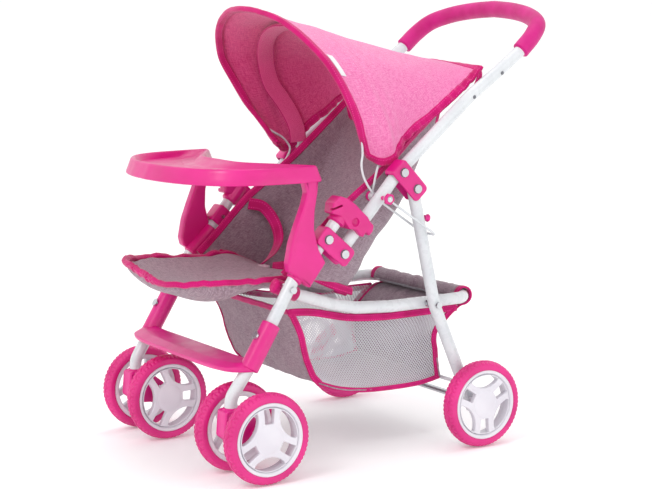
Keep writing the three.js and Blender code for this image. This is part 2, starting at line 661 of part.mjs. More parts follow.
// Y, Z of the edge, half width, sag in the middle, and how much higher the right edge is than the left
const SEAT_RIBS = [
  [-40, 213, 104, 2, 0],
  [-58, 222, 104, 6, 0],
  [-84, 235, 104, 9, 0],
  [-109, 244, 104, 10, 1],
  [-135, 243.5, 104, 12, 3],
  [-165, 243, 104, 14, 4],
  [-202, 242, 103, 15, 6],
  [-232, 242.5, 97, 14, 7],
  [-258, 243, 84, 11, 10],
  [-275, 243.5, 66, 6, 10],
  [-283, 243.5, 46, 2, 8],
];
const SEAT_ACROSS = [-1, -0.55, 0, 0.55, 1];
const SEAT_THICK = 7;
function seatBase() {
  const rows = SEAT_RIBS.map(([y, z, half, sag, lift]) =>
    SEAT_ACROSS.map((u) => vec(u * half, y, z - sag * (1 - u * u) - (lift / 2) * u))
  );
  return skin(rows, -SEAT_THICK);
}
const STRAP_ROUTE = [
  [103, -66, 309], [97, -49, 304], [87, -37, 284], [69, -41, 262], [42, -66, 248], [14, -95, 241],
];
const STRAP_WIDTH = 16;
const STRAP_THICK = 1.6;
const harness = (side) =>
  strap(STRAP_ROUTE.map(([x, y, z]) => vec(side * x, y, z)), STRAP_WIDTH, STRAP_THICK);
const BUCKLE = [[-7, -111], [7, -111], [9.5, -103], [8, -98], [-8, -98], [-9.5, -103]];
const BUCKLE_Z = [237, 241];

// Basket: an open bag between the side tubes
const BASKET_LEVELS = [
  { half: 103, front: [-122, 200], mid: 178, rear: [136, 180] },
  { half: 103, front: [-104, 160], mid: 145, rear: [117, 150] },
  { half: 102, front: [-88, 118], mid: 104, rear: [115, 112] },
  { half: 99, front: [-76, 100], mid: 82, rear: [111, 84] },
];
const BASKET_WALL = 3;
const BASKET_CORNER = 10;
function basketRing({ half, front, mid, rear }, inward, rise) {
  const h = half - inward;
  const side = [
    [h - BASKET_CORNER, front[0] + inward, front[1]],
    [h, front[0] + inward + BASKET_CORNER, front[1]],
    [h, -30, mid + (front[1] - mid) * 0.35],
    [h, 50, mid],
    [h, rear[0] - inward - BASKET_CORNER, rear[1]],
    [h - BASKET_CORNER, rear[0] - inward, rear[1]],
  ];
  return [...side, ...mirrorX(side)].map(([x, y, z]) => vec(x, y, z + rise));
}
function basket() {
  const outer = BASKET_LEVELS.map((level) => basketRing(level, 0, 0));
  const floor = BASKET_LEVELS.length - 1;
  const inner = BASKET_LEVELS.map((level, i) =>
    basketRing(level, BASKET_WALL, i === floor ? BASKET_WALL : 0)
  );
  const opening = inner[0].map((p) => p.clone().add(vec(0, 0, 20)));
  return cut(loft(outer), loft([opening, ...inner]));
}

// Assembly
for (const [label, side] of SIDES) {
  caster(label, side);
  frontLeg(label, side);
  add(`lower_bracket_${label}`, lowerBracket(side), FINISH.plastic);
  add(`lower_leg_screw_${label}`, pin(side, LEG_PIN), FINISH.chrome);
  add(`fold_pivot_screw_${label}`, pin(side, FOLD_PIVOT), FINISH.chrome);
  add(`fold_clip_${label}`, foldClip(side), FINISH.plastic);
  add(`upper_bracket_${label}`, upperBracket(side), FINISH.plastic);
  add(`handle_screw_${label}`, pin(side, HANDLE_PIN), FINISH.chrome);
  add(`rear_leg_screw_${label}`, pin(side, REAR_LEG_PIVOT), FINISH.chrome);
  add(`rear_leg_${label}`, rearLeg(side), FINISH.tube);
  add(`side_pivot_bolt_${label}`, sideBolt(side, SIDE_PIVOT, 105.5), FINISH.chrome);
  add(`side_stop_bolt_${label}`, sideBolt(side, SIDE_STOP, 123.8), FINISH.chrome);
  add(`canopy_pivot_${label}`, canopyPivot(side), FINISH.plastic);
  add(`harness_strap_${label}`, harness(side), FINISH.binding);
  add(`footrest_bolt_${label}`, footrestBolt(side), FINISH.chrome);
  wheel(`rear_${label}`, side * REAR_WHEEL_X, REAR_AXLE_Y, side);
}
add("footrest", footrest(), FINISH.plastic);
add("tray", tray(), FINISH.plastic);
add("handle_tube", handle(), FINISH.tube);
add("handle_grip", grip(), FINISH.foam);
const axleReach = REAR_WHEEL_X + 6;
add("rear_axle", rod(-axleReach, axleReach, [REAR_AXLE_Y, WHEEL_R], AXLE_R), FINISH.chrome);
add("cross_wire", rod(-LEG_X - 8, LEG_X + 8, CROSS_WIRE, CROSS_WIRE_R, 8), FINISH.tube);
add("side_tube", sideTube(), FINISH.tube);
add("catch_loop", catchLoop(), FINISH.tube);
add("catch_knob", catchKnob(), FINISH.plastic);
add("front_bow", bow(FRONT_LEFT_FOOT, FRONT_HOOP, FRONT_RIGHT_FOOT), FINISH.tube);
add("mid_bow", bow(MID_LEFT_FOOT, MID_HOOP, MID_RIGHT_FOOT), FINISH.tube);
add("canopy", canopy(), FINISH.canopy);
add("seat_back", seatBack(), FINISH.cloth);
add("seat_base", seatBase(), FINISH.cloth);
add("harness_buckle", slab(BUCKLE, ...BUCKLE_Z), FINISH.buckle);
add("basket", basket(), FINISH.cloth);

export default stroller;
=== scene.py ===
"""Doll stroller: smooth shells, tubes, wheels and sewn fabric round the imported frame.

Sizes in this file are millimetres in the row frame (+X to the stroller's left, -Y forward, Z up) and
become metres when a mesh is made. side is 1 on the left and -1 on the right.
"""

import json
import math

import bmesh
import bpy
import numpy as np
from mathutils import Matrix, Vector, noise


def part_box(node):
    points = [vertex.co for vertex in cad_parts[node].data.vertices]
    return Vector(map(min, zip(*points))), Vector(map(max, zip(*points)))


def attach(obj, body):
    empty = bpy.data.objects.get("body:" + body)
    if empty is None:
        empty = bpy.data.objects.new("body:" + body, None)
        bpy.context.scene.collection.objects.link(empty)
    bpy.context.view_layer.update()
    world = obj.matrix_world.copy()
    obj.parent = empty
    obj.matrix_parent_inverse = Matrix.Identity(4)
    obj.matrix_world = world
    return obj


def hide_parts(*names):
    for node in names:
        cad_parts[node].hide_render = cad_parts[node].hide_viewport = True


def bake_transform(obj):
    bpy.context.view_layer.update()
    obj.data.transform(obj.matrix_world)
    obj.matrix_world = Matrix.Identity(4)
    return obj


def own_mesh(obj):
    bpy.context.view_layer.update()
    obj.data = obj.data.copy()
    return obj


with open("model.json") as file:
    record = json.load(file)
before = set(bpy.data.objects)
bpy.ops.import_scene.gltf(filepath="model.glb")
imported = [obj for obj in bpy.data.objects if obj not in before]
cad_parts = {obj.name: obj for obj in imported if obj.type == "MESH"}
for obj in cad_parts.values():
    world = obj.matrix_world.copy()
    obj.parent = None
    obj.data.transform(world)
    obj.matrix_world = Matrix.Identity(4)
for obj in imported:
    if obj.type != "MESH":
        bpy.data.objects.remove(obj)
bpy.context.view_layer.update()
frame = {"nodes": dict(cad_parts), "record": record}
MM = 0.001
SIDES = ((1, "left"), (-1, "right"))


# ---------------------------------------------------------------- camera, light and floor
def make_camera():
    azimuth, elevation, roll = (math.radians(a) for a in (58.17, 8.24, -0.34))
    target = Vector((-3.46, -2.97, 259.47)) * MM
    level = math.cos(elevation)
    back = Vector((math.sin(azimuth) * level, -math.cos(azimuth) * level, math.sin(elevation)))
    camera = bpy.data.objects.new("camera", bpy.data.cameras.new("camera"))
    camera.data.sensor_width = 36
    camera.data.lens = 95.56
    camera.location = target + back * 2.32978
    camera.rotation_mode = "QUATERNION"
    turn = (-back).to_track_quat("-Z", "Y")
    camera.rotation_quaternion = turn @ Matrix.Rotation(roll, 3, "Z").to_quaternion()
    bpy.context.scene.collection.objects.link(camera)
    bpy.context.scene.camera = camera


def area_light(name, place, aim, size, watts, colour=(1, 1, 1)):
    light = bpy.data.lights.new(name, "AREA")
    light.shape = "DISK"
    light.size = size
    light.energy = watts
    light.color = colour
    lamp = bpy.data.objects.new(name, light)
    lamp.location = place
    lamp.rotation_mode = "QUATERNION"
    lamp.rotation_quaternion = (Vector(aim) - Vector(place)).to_track_quat("-Z", "Y")
    bpy.context.scene.collection.objects.link(lamp)


def make_studio():
    world = bpy.data.worlds.new("studio")
    world.use_nodes = True
    world.node_tree.nodes["Background"].inputs["Color"].default_value = (1, 1, 1, 1)
    world.node_tree.nodes["Background"].inputs["Strength"].default_value = 0.76
    bpy.context.scene.world = world
    bpy.context.scene.view_settings.view_transform = "Standard"
    aim = (0, 0, 0.28)
    area_light("key", (0.9, -2.3, 2.6), aim, 1.3, 25)
    area_light("top", (-0.3, 0.5, 3.0), aim, 1.8, 18)
    area_light("fill", (2.7, 0.6, 0.9), aim, 1.6, 6)


# ---------------------------------------------------------------- shapes
def vec(x, y, z):
    return Vector((x, y, z))


def in_plane(x, points):
    return [vec(x, y, z) for y, z in points]


def bend(points, radius, step=7.0):
    """Corners of a bent tube replaced by arcs, with a station every few degrees."""
    out = [points[0].copy()]
    for before, corner, after in zip(points, points[1:], points[2:]):
        arriving, leaving = corner - before, after - corner
        room = 0.49 * min(arriving.length, leaving.length)
        arriving.normalize()
        leaving.normalize()
        turn = arriving.angle(leaving)
        if turn < 1e-3:
            out.append(corner.copy())
            continue
        r = min(radius, room / math.tan(turn / 2))
        start = corner - arriving * r * math.tan(turn / 2)
        inward = (leaving - arriving * math.cos(turn)).normalized()
        steps = max(1, round(math.degrees(turn) / step))
        for k in range(steps + 1):
            a = turn * k / steps
            out.append(start + arriving * r * math.sin(a) + inward * r * (1 - math.cos(a)))
    out.append(points[-1].copy())
    return out


def curve_through(points, steps=8):
    """A Catmull-Rom curve through points, with that many steps between two of them."""
    p = np.array([list(q) for q in points], float)
    p = np.vstack([2 * p[0] - p[1], p, 2 * p[-1] - p[-2]])
    out = []
    for i in range(1, len(p) - 2):
        for t in np.arange(steps) / steps:
            a = 2 * p[i] + (p[i + 1] - p[i - 1]) * t
            b = (2 * p[i - 1] - 5 * p[i] + 4 * p[i + 1] - p[i + 2]) * t * t
            c = (3 * p[i] - p[i - 1] - 3 * p[i + 1] + p[i + 2]) * t**3
            out.append((a + b + c) / 2)
    out.append(p[-2])
    return [Vector(q) for q in out]


def spaced(points, count):
    """The line again, with count points evenly along it."""
    p = np.array([list(q) for q in points], float)
    along = np.concatenate([[0], np.cumsum(np.linalg.norm(np.diff(p, axis=0), axis=1))])
    at = np.linspace(0, along[-1], count)
    return [Vector(q) for q in np.stack([np.interp(at, along, c) for c in p.T], axis=1)]


def tangents(points):
    last = len(points) - 1
    return [(points[min(i + 1, last)] - points[max(i - 1, 0)]).normalized() for i in range(last + 1)]


def frames(points, facing=None):
    """Tangent, normal and side of each station: turned least along the line, or facing given directions."""
    out = []
    normal = Vector((0.31, 0.22, 0.93))
    for i, t in enumerate(tangents(points)):
        hint = normal if facing is None else Vector(facing[i])
        normal = (hint - t * hint.dot(t)).normalized()
        out.append((t, normal, t.cross(normal)))
    return out


def circle(radius, sides):
    angles = (2 * math.pi * k / sides for k in range(sides))
    return [(radius * math.cos(a), radius * math.sin(a)) for a in angles]


def oval(width, thickness, sides=16, power=0.6):
    """A flattened round section."""
    out = []
    for k in range(sides):
        a = 2 * math.pi * k / sides
        c, s = math.cos(a), math.sin(a)
        across = width / 2 * math.copysign(abs(c) ** power, c)
        out.append((across, thickness / 2 * math.copysign(abs(s) ** power, s)))
    return out


def rounded(outline, radius, step=12.0):
    """A closed 2-D outline with its corners replaced by arcs. radius is a number, or one for each corner."""
    points = [vec(a, b, 0) for a, b in outline]
    count = len(points)
    out = []
    for i, corner in enumerate(points):
        r = radius[i] if isinstance(radius, (list, tuple)) else radius
        before, after = points[i - 1], points[(i + 1) % count]
        if r <= 0:
            out.append((corner.x, corner.y))
            continue
        arc = bend([(before + corner) / 2, corner, (after + corner) / 2], r, step)
        out += [(p.x, p.y) for p in arc[1:-1]]
    return out


class Shape:
    """Collects the shells of one piece, in millimetres."""

    def __init__(self):
        self.points, self.faces, self.slots, self.uvs = [], [], [], []

    def add(self, points, faces, slot=0, uvs=None):
        base = len(self.points)
        self.points += [Vector(p) for p in points]
        self.faces += [[base + i for i in f] for f in faces]
        self.slots += [slot] * len(faces)
        self.uvs += list(uvs) if uvs is not None else [(0.0, 0.0)] * len(points)
        return self

    def loft(self, rings, slot=0, closed=False, caps=True, uvs=None):
        n = len(rings[0])
        faces = []
        count = len(rings)
        for i in range(count if closed else count - 1):
            for k in range(n):
                a, b = i * n + k, i * n + (k + 1) % n
                c = ((i + 1) % count) * n
                faces.append([a, b, c + (k + 1) % n, c + k])
        if caps and not closed:
            faces.append(list(range(n))[::-1])
            faces.append([(count - 1) * n + k for k in range(n)])
        return self.add([p for ring in rings for p in ring], faces, slot, uvs)

    def sweep(self, points, section, facing=None, slot=0, taper=1.5):
        """A section swept along points. The ends close in over taper millimetres."""
        rings, uvs, along = [], [], 0.0
        stations = frames(points, facing)
        last = len(points) - 1
        for i, (p, (t, n, b)) in enumerate(zip(points, stations)):
            along += (p - points[i - 1]).length if i else 0
            scales = [(0, 1)]
            if taper and i in (0, last):
                way = -1 if i == 0 else 1
                scales = [
                    (taper * math.sin(a) * way, 1 - taper * (1 - math.cos(a)) / 3)
                    for a in (0, 0.6, 1.1, 1.5)
                ]
                scales = scales[::-1] if i == 0 else scales
            for shift, scale in scales:
                rings.append([p + t * shift + (n * v + b * u) * scale for u, v in section])
                uvs += [((along + shift) * MM, k / len(section)) for k in range(len(section))]
        return self.loft(rings, slot, uvs=uvs)

    def tube(self, points, radius, sides=20, slot=0, taper=1.5):
        return self.sweep(points, circle(radius, sides), slot=slot, taper=taper)

    def lathe(self, profile, centre, axis=(1, 0, 0), sides=48, slot=0):
        """A closed or capped profile of (radius, height) points turned about an axis."""
        axis = Vector(axis).normalized()
        aside = axis.orthogonal().normalized()
        other = axis.cross(aside)
        centre = Vector(centre)
        rings = []
        for r, h in profile:
            ring = [centre + axis * h + (aside * c + other * s) * max(r, 0.01) for c, s in circle(1, sides)]
            rings.append(ring)
        return self.loft(rings, slot)

    def plate(self, loops, low, high, bevel, plane="YZ", slot=0, resolution=3):
        """A flat piece through outlines, the first outside and the rest holes, with rounded edges."""
        curve = bpy.data.curves.new("plate", "CURVE")
        curve.dimensions = "2D"
        curve.fill_mode = "BOTH"
        curve.extrude = (high - low) / 2 - bevel
        curve.bevel_depth = bevel
        curve.bevel_resolution = resolution
        curve.offset = -bevel
        for loop in loops:
            spline = curve.splines.new("POLY")
            spline.points.add(len(loop) - 1)
            spline.use_cyclic_u = True
            for point, (a, b) in zip(spline.points, loop):
                point.co = (a, b, 0, 1)
        holder = bpy.data.objects.new("plate", curve)
        mesh = bpy.data.meshes.new_from_object(holder)
        middle = (low + high) / 2
        points = [v.co.copy() for v in mesh.vertices]
        if plane == "YZ":
            points = [vec(p.z + middle, p.x, p.y) for p in points]
        else:
            points = [vec(p.x, p.y, p.z + middle) for p in points]
        self.add(points, [list(f.vertices) for f in mesh.polygons], slot)
        bpy.data.meshes.remove(mesh)
        bpy.data.curves.remove(curve)
        return self

    def mesh(self, name, sharp=35):
        mesh = bpy.data.meshes.new(name)
        mesh.from_pydata([tuple(p * MM) for p in self.points], [], self.faces)
        mesh.polygons.foreach_set("material_index", self.slots)
        layer = mesh.uv_layers.new(name="UVMap")
        corner_points = np.zeros(len(mesh.loops), int)
        mesh.loops.foreach_get("vertex_index", corner_points)
        layer.data.foreach_set("uv", np.array(self.uvs, float)[corner_points].ravel())
        mesh.shade_smooth()
        weld(mesh)
        mesh.set_sharp_from_angle(angle=math.radians(sharp))
        return mesh


def weld(mesh):
    """Joins points that meet, turns faces outward and drops what has no area."""
    work = bmesh.new()
    work.from_mesh(mesh)
    bmesh.ops.remove_doubles(work, verts=work.verts, dist=2e-6)
    bmesh.ops.dissolve_degenerate(work, edges=work.edges, dist=1e-6)
    closed = all(len(e.link_faces) == 2 for e in work.edges)
    if closed:
        bmesh.ops.recalc_face_normals(work, faces=work.faces)
    work.to_mesh(mesh)
    work.free()


def put(name, shape, materials, body=None, stands_for=(), sharp=35):
    """Makes a piece of a shape or mesh, on a body, with its finish, in place of CAD nodes."""
    mesh = shape.mesh(name, sharp) if isinstance(shape, Shape) else shape
    piece = bpy.data.objects.new(name, mesh)
    bpy.context.scene.collection.objects.link(piece)
    if not mesh.materials:
        for material in materials if isinstance(materials, (list, tuple)) else [materials]:
            mesh.materials.append(material)
    if body:
        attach(piece, body)
    if stands_for:
        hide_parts(*stands_for)
    return piece


def baked(piece):
    """The piece's mesh with its modifiers applied."""
    graph = bpy.context.evaluated_depsgraph_get()
    mesh = bpy.data.meshes.new_from_object(piece.evaluated_get(graph))
    piece.modifiers.clear()
    piece.data = mesh
    return piece


def carve(piece, *cutters, sharp=35):
    """Cuts shapes out of a piece."""
    made = []
    for k, cutter in enumerate(cutters):
        tool = put(f"{piece.name}_cutter_{k}", cutter, [piece.data.materials[0]])
        modifier = piece.modifiers.new("cut", "BOOLEAN")
        modifier.object = tool
        modifier.operation = "DIFFERENCE"
        modifier.solver = "EXACT"
        made.append(tool)
    bpy.context.view_layer.update()
    baked(piece)
    for tool in made:
        bpy.data.objects.remove(tool)
    piece.data.shade_smooth()
    piece.data.set_sharp_from_angle(angle=math.radians(sharp))
    return piece


# ---------------------------------------------------------------- materials
def rgb(r, g, b):
    """sRGB bytes to a linear colour."""
    return tuple(
        (c / 255 / 12.92) if c <= 10 else ((c / 255 + 0.055) / 1.055) ** 2.4 for c in (r, g, b)
    ) + (1.0,)


class Finish:
    """A material under construction: a Principled shader and the nodes that feed it."""

    def __init__(self, name, **constants):
        self.material = bpy.data.materials.new(name)
        self.material.use_nodes = True
        self.tree = self.material.node_tree
        self.shader = self.tree.nodes["Principled BSDF"]
        for socket, value in constants.items():
            self.shader.inputs[socket.replace("_", " ")].default_value = value

    def node(self, kind, inputs=None, **settings):
        made = self.tree.nodes.new(kind)
        for key, value in settings.items():
            setattr(made, key, value)
        for key, value in (inputs or {}).items():
            if isinstance(value, bpy.types.NodeSocket):
                self.tree.links.new(value, made.inputs[key])
            else:
                made.inputs[key].default_value = value
        return made

    def coords(self, scale, source="Object"):
        place = self.node("ShaderNodeTexCoord").outputs[source]
        return self.node("ShaderNodeMapping", {"Vector": place, "Scale": scale}).outputs["Vector"]

    def noise(self, scale, detail=2.0, stretch=(1, 1, 1), source="Object", roughness=0.5):
        inputs = {
            "Vector": self.coords(stretch, source), "Scale": scale, "Detail": detail,
            "Roughness": roughness,
        }
        return self.node("ShaderNodeTexNoise", inputs).outputs["Fac"]

    def math(self, operation, a, b=0.0):
        return self.node("ShaderNodeMath", {0: a, 1: b}, operation=operation).outputs[0]

    def remap(self, value, low, high, to_low, to_high):
        inputs = {"Value": value, "From Min": low, "From Max": high, "To Min": to_low, "To Max": to_high}
        return self.node("ShaderNodeMapRange", inputs).outputs["Result"]

    def mix(self, factor, a, b):
        made = self.node("ShaderNodeMix", data_type="RGBA")
        for key, value in ((0, factor), (6, a), (7, b)):
            if isinstance(value, bpy.types.NodeSocket):
                self.tree.links.new(value, made.inputs[key])
            else:
                made.inputs[key].default_value = value
        return made.outputs[2]

    def feed(self, socket, value):
        self.tree.links.new(value, self.shader.inputs[socket])
        return self

    def bump(self, height, strength, distance):
        inputs = {"Height": height, "Strength": strength, "Distance": distance}
        return self.feed("Normal", self.node("ShaderNodeBump", inputs).outputs["Normal"])


def moulded(name, colour, deep, roughness, grain=900.0, coat=0.25):
    """Moulded plastic: a faint flow mottle, a fine grain and uneven gloss."""
    f = Finish(name, Coat_Weight=coat, Coat_Roughness=0.22, Specular_IOR_Level=0.5)
    f.feed("Base Color", f.mix(f.remap(f.noise(14, 3), 0.35, 0.7, 0, 1), colour, deep))
    f.feed("Roughness", f.remap(f.noise(60, 4), 0.3, 0.7, roughness - 0.06, roughness + 0.08))
    return f.bump(f.noise(grain, 2), 0.16, 0.0002).material


def painted(name, colour, shade):
    """Powder coat on steel: orange peel under a hard gloss."""
    f = Finish(name, Coat_Weight=0.5, Coat_Roughness=0.12)
    f.feed("Base Color", f.mix(f.remap(f.noise(22, 3), 0.4, 0.75, 0, 1), colour, shade))
    f.feed("Roughness", f.remap(f.noise(90, 3), 0.3, 0.7, 0.22, 0.36))
    return f.bump(f.noise(420, 1.5), 0.12, 0.0003).material


def steel(name, colour, roughness):
    f = Finish(name, Metallic=1.0)
    f.feed("Base Color", f.mix(f.noise(160, 2), colour, tuple(c * 0.8 for c in colour[:3]) + (1,)))
    f.feed("Roughness", f.remap(f.noise(300, 3, (1, 8, 1)), 0.3, 0.7, roughness - 0.05, roughness + 0.12))
    return f.bump(f.noise(700, 2), 0.1, 0.0001).material


def woven(name, light, dark, fleck, source="UV", pitch=0.0011, sheen=0.35, relief=0.5):
    """Melange cloth on coordinates in metres: a weave, streaks of paler and darker yarn, and a soft nap."""
    f = Finish(name, Sheen_Weight=sheen, Sheen_Roughness=0.5, Specular_IOR_Level=0.2, Roughness=0.9)
    place = f.node("ShaderNodeTexCoord").outputs[source]
    cut = f.node("ShaderNodeSeparateXYZ", {"Vector": place})
    turns = 2 * math.pi / pitch
    warp = f.math("SINE", f.math("MULTIPLY", cut.outputs["X"], turns))
    weft = f.math("SINE", f.math("MULTIPLY", cut.outputs["Y"], turns))
    weave = f.math("MULTIPLY", warp, weft)
    across = f.noise(1.0, 2, (110, 900, 1), source, 0.6)
    along = f.noise(1.0, 2, (900, 110, 1), source, 0.6)
    yarn = f.math("ADD", across, along)
    base = f.mix(f.remap(yarn, 0.86, 1.14, 0, 1), dark, light)
    speck = f.remap(f.noise(1.0, 1, (520, 520, 1), source), 0.62, 0.74, 0, 0.75)
    blotch = f.remap(f.noise(9, 2), 0.35, 0.7, 0.0, 0.22)
    f.feed("Base Color", f.mix(blotch, f.mix(speck, base, fleck), dark))
    height = f.math("ADD", f.math("MULTIPLY", weave, 0.35), yarn)
    return f.bump(height, relief, 0.0006).material


def tape(name, colour, dark, stitch):
    """Folded binding: cross ribs and a row of stitches. U runs along it in metres, V round the fold."""
    f = Finish(name, Sheen_Weight=0.3, Sheen_Roughness=0.45, Specular_IOR_Level=0.25, Roughness=0.8)
    cut = f.node("ShaderNodeSeparateXYZ", {"Vector": f.node("ShaderNodeTexCoord").outputs["UV"]})
    ribs = f.math("SINE", f.math("MULTIPLY", cut.outputs["X"], 2 * math.pi / 0.0013))
    base = f.mix(f.remap(f.noise(45, 3), 0.3, 0.7, 0, 1), colour, dark)
    dashes = f.remap(
        f.math("SINE", f.math("MULTIPLY", cut.outputs["X"], 2 * math.pi / 0.0032)), -0.2, 0.1, 0, 1,
    )
    line = f.math(
        "ABSOLUTE",
        f.math("SUBTRACT", f.math("PINGPONG", f.math("ADD", cut.outputs["Y"], 0.25), 0.25), 0.07),
    )
    row = f.remap(line, 0.012, 0.022, 1, 0)
    stitched = f.math("MULTIPLY", dashes, row)
    f.feed("Base Color", f.mix(f.math("MULTIPLY", stitched, 0.8), base, stitch))
    height = f.math(
        "ADD", f.math("MULTIPLY", ribs, 0.2), f.math("SUBTRACT", stitched, f.math("MULTIPLY", row, 0.7)),
    )
    return f.bump(height, 0.5, 0.0005).material


def foam(name, colour, dark):
    f = Finish(name, Specular_IOR_Level=0.35, Sheen_Weight=0.12)
    cells = f.node(
        "ShaderNodeTexVoronoi", {"Vector": f.coords((1, 1, 1)), "Scale": 900.0},
    ).outputs["Distance"]
    f.feed("Base Color", f.mix(f.remap(f.noise(30, 3), 0.3, 0.7, 0, 1), colour, dark))
    f.feed("Roughness", f.remap(f.noise(80, 2), 0.3, 0.7, 0.5, 0.66))
    return f.bump(cells, 0.25, 0.0004).material


def make_materials():
    pink = rgb(226, 20, 138)
    grey = (rgb(178, 158, 168), rgb(142, 120, 132), rgb(204, 190, 198))
    return {
        "plastic": moulded("magenta_plastic", pink, rgb(208, 10, 120), 0.36),
        "tyre": moulded("tyre_foam", rgb(228, 38, 136), rgb(206, 22, 118), 0.46, 500.0, 0.1),
        "rim": moulded("white_rim", rgb(230, 227, 234), rgb(219, 215, 224), 0.4),
        "paint": painted("white_paint", rgb(220, 223, 226), rgb(207, 211, 216)),
        "chrome": steel("chrome", rgb(214, 216, 220), 0.16),
        "dark_steel": steel("dark_steel", rgb(120, 122, 128), 0.32),
        "foam": foam("grip_foam", rgb(212, 20, 134), rgb(190, 12, 112)),
        "tape": tape("magenta_tape", rgb(212, 12, 118), rgb(188, 6, 98), rgb(236, 70, 156)),
        "canopy": woven("canopy_cloth", rgb(246, 142, 194), rgb(232, 110, 170), rgb(253, 190, 220)),
        # The canopy fabric again in a darker, deeper pink for its inside face: painted shade inside the
        # canopy and painted light shining through the cloth
        "lining": woven("canopy_inside_painted_shade", rgb(240, 100, 158), rgb(220, 66, 132), rgb(248, 130, 178)),
        "grey": woven("grey_cloth", *grey),
        "grey_flat": woven("grey_pad_cloth", *grey, "Object"),
        "net": moulded("white_net", rgb(226, 223, 229), rgb(210, 207, 215), 0.6, 900.0, 0.0),
        "white": moulded("white_plastic", rgb(240, 238, 240), rgb(228, 226, 230), 0.38),
    }


# ---------------------------------------------------------------- frame dimensions, as in the CAD
TUBE_R = 8
BOW_WIRE_R = 1.5
LEG_X = 138
HANDLE_X = 136
SIDE_X = 115
CASTER_X = 134
FOLD_PIVOT = (-70.3, 270.8)
LEG_PIN = (-93.5, 291)
HANDLE_PIN = (20, 368)
REAR_LEG_PIVOT = (40.5, 345.9)
SIDE_STOP = (75, 191)
CANOPY_PIVOT = (-9.5, 337)
LEG_FOOT = ((-227, 80), (-227, 104), (-197, 148))
LEG_TOP = ((-139, 243), (-113, 267), (-93.5, 291), (-63, 327))
GRIP_START = (216, 518.6)
GRIP_SLOPE = math.radians(41.5)
GRIP_ARCH = ((136, 0), (134, 26), (122, 50), (88, 66), (45, 75), (0, 79))
GRIP_R = 11.5


def mirror(points):
    return [vec(-p.x, p.y, p.z) for p in reversed(points)]


def leg_line(side):
    foot = in_plane(side * CASTER_X, LEG_FOOT[:2])
    return bend(foot + in_plane(side * LEG_X, (LEG_FOOT[2], *LEG_TOP)), 24, 5)


def rear_leg_line(side):
    top = in_plane(side * LEG_X, (REAR_LEG_PIVOT, SIDE_STOP))
    line = bend([*top, vec(side * (LEG_X + 5), 134, 46)], 60, 3)
    return [line[0] + (line[0] - line[1]).normalized() * 5, *line[1:]]


def arch_point(x, along):
    return vec(x, GRIP_START[0] + along * math.cos(GRIP_SLOPE), GRIP_START[1] + along * math.sin(GRIP_SLOPE))


def grip_line():
    half = curve_through([arch_point(x, along) for x, along in GRIP_ARCH], 6)
    return half + mirror(half)[1:]


def handle_line():
    half = in_plane(HANDLE_X, ((-75, 265.6), HANDLE_PIN, (134, 462), (179, 492)))
    straight = bend([*half, arch_point(*GRIP_ARCH[0])], 40, 4)
    return straight + grip_line()[1:-1] + mirror(straight)


# The bows, from the middle of each side's foot up over the canopy
FRONT_HOOP = (
    (134.4, -40.9, 437.9), (139, -54.4, 460.1), (140.6, -68.2, 482.7), (138.2, -82.5, 504.4),
    (126, -94.4, 523.8), (108.9, -104.7, 540.7), (88.5, -112.8, 554.6), (65.5, -119.2, 564.5),
    (41, -125, 571), (15.6, -129.3, 574.2), (0, -130.2, 574.9),
)
FRONT_LEFT_FOOT = (
    (125.3, *CANOPY_PIVOT), (125.3, -14, 344), (123.5, -19, 352), (120.5, -23.4, 364), (118.5, -25, 378),
    (119, -23.5, 393), (125.5, -29.8, 416),
)
FRONT_RIGHT_FOOT = (
    (-125.3, *CANOPY_PIVOT), (-124.6, -1, 350), (-123, 3.2, 361), (-119.2, 8, 372), (-116.4, 8.5, 383),
    (-117, -2, 396), (-118, -17, 405), (-125.5, -29.8, 416),
)
MID_HOOP = (
    (124, -15.6, 471.2), (115.8, -28.5, 500.2), (94.4, -41.6, 522.8), (70.2, -50.4, 537.9),
    (46.2, -56.2, 545.9), (25.2, -60.2, 549.8), (0, -62.8, 551.3),
)
MID_LEFT_FOOT = (
    (118.8, *CANOPY_PIVOT), (118.6, -3, 365), (116.3, 4.9, 383.4), (117.4, 9.9, 399.8), (118, 6.3, 421.5),
    (119.5, 2.5, 433), (124, -3, 448),
)
MID_RIGHT_FOOT = (
    (-118.8, *CANOPY_PIVOT), (-118.8, 10.5, 355.5), (-118.2, 21.5, 374), (-117.6, 23, 390),
    (-118.4, 21, 408), (-121.5, 15, 426), (-124.3, 2, 448),
)


def bow_route(left, hoop, right):
    half = [vec(*p) for p in hoop]
    return [vec(*p) for p in left] + half + mirror(half)[1:] + [vec(*p) for p in reversed(right)]


def make_tubes(m):
    for side, label in SIDES:
        leg = Shape().tube(leg_line(side), TUBE_R, 28)
        put(f"front_leg_tube_{label}", leg, m["paint"], "front_frame", [f"front_leg_{label}"])
        rear = Shape().tube(rear_leg_line(side), TUBE_R, 28)
        put(f"rear_leg_tube_{label}", rear, m["paint"], "rear_frame", [f"rear_leg_{label}"])
    handle = Shape().tube(handle_line(), TUBE_R, 28)
    put("handle_bar", handle, m["paint"], "handle_frame", ["handle_tube"])
    grip = Shape().tube(
        [arch_point(HANDLE_X, -1), *grip_line(), arch_point(-HANDLE_X, -1)], GRIP_R, 32, taper=3,
    )
    put("foam_grip", grip, m["foam"], "handle_frame", ["handle_grip"])
    half = ((-150, 233), (-118, 219), (-71, 203), (-33, 194), (21, 190.5), (105, 190.5))
    left = in_plane(SIDE_X, half)
    around = bend([*left, vec(SIDE_X, 148, 191), vec(-SIDE_X, 148, 191), *mirror(left)], 40, 5)
    put(
        "side_tube_bent", Shape().tube(around, TUBE_R, 28), m["paint"], "side_frame",
        ["side_tube"],
    )
    wire = Shape().tube([vec(-146, 120.5, 80), vec(146, 120.5, 80)], 2.5, 16)
    put("rear_cross_wire", wire, m["paint"], "rear_frame", ["cross_wire"])


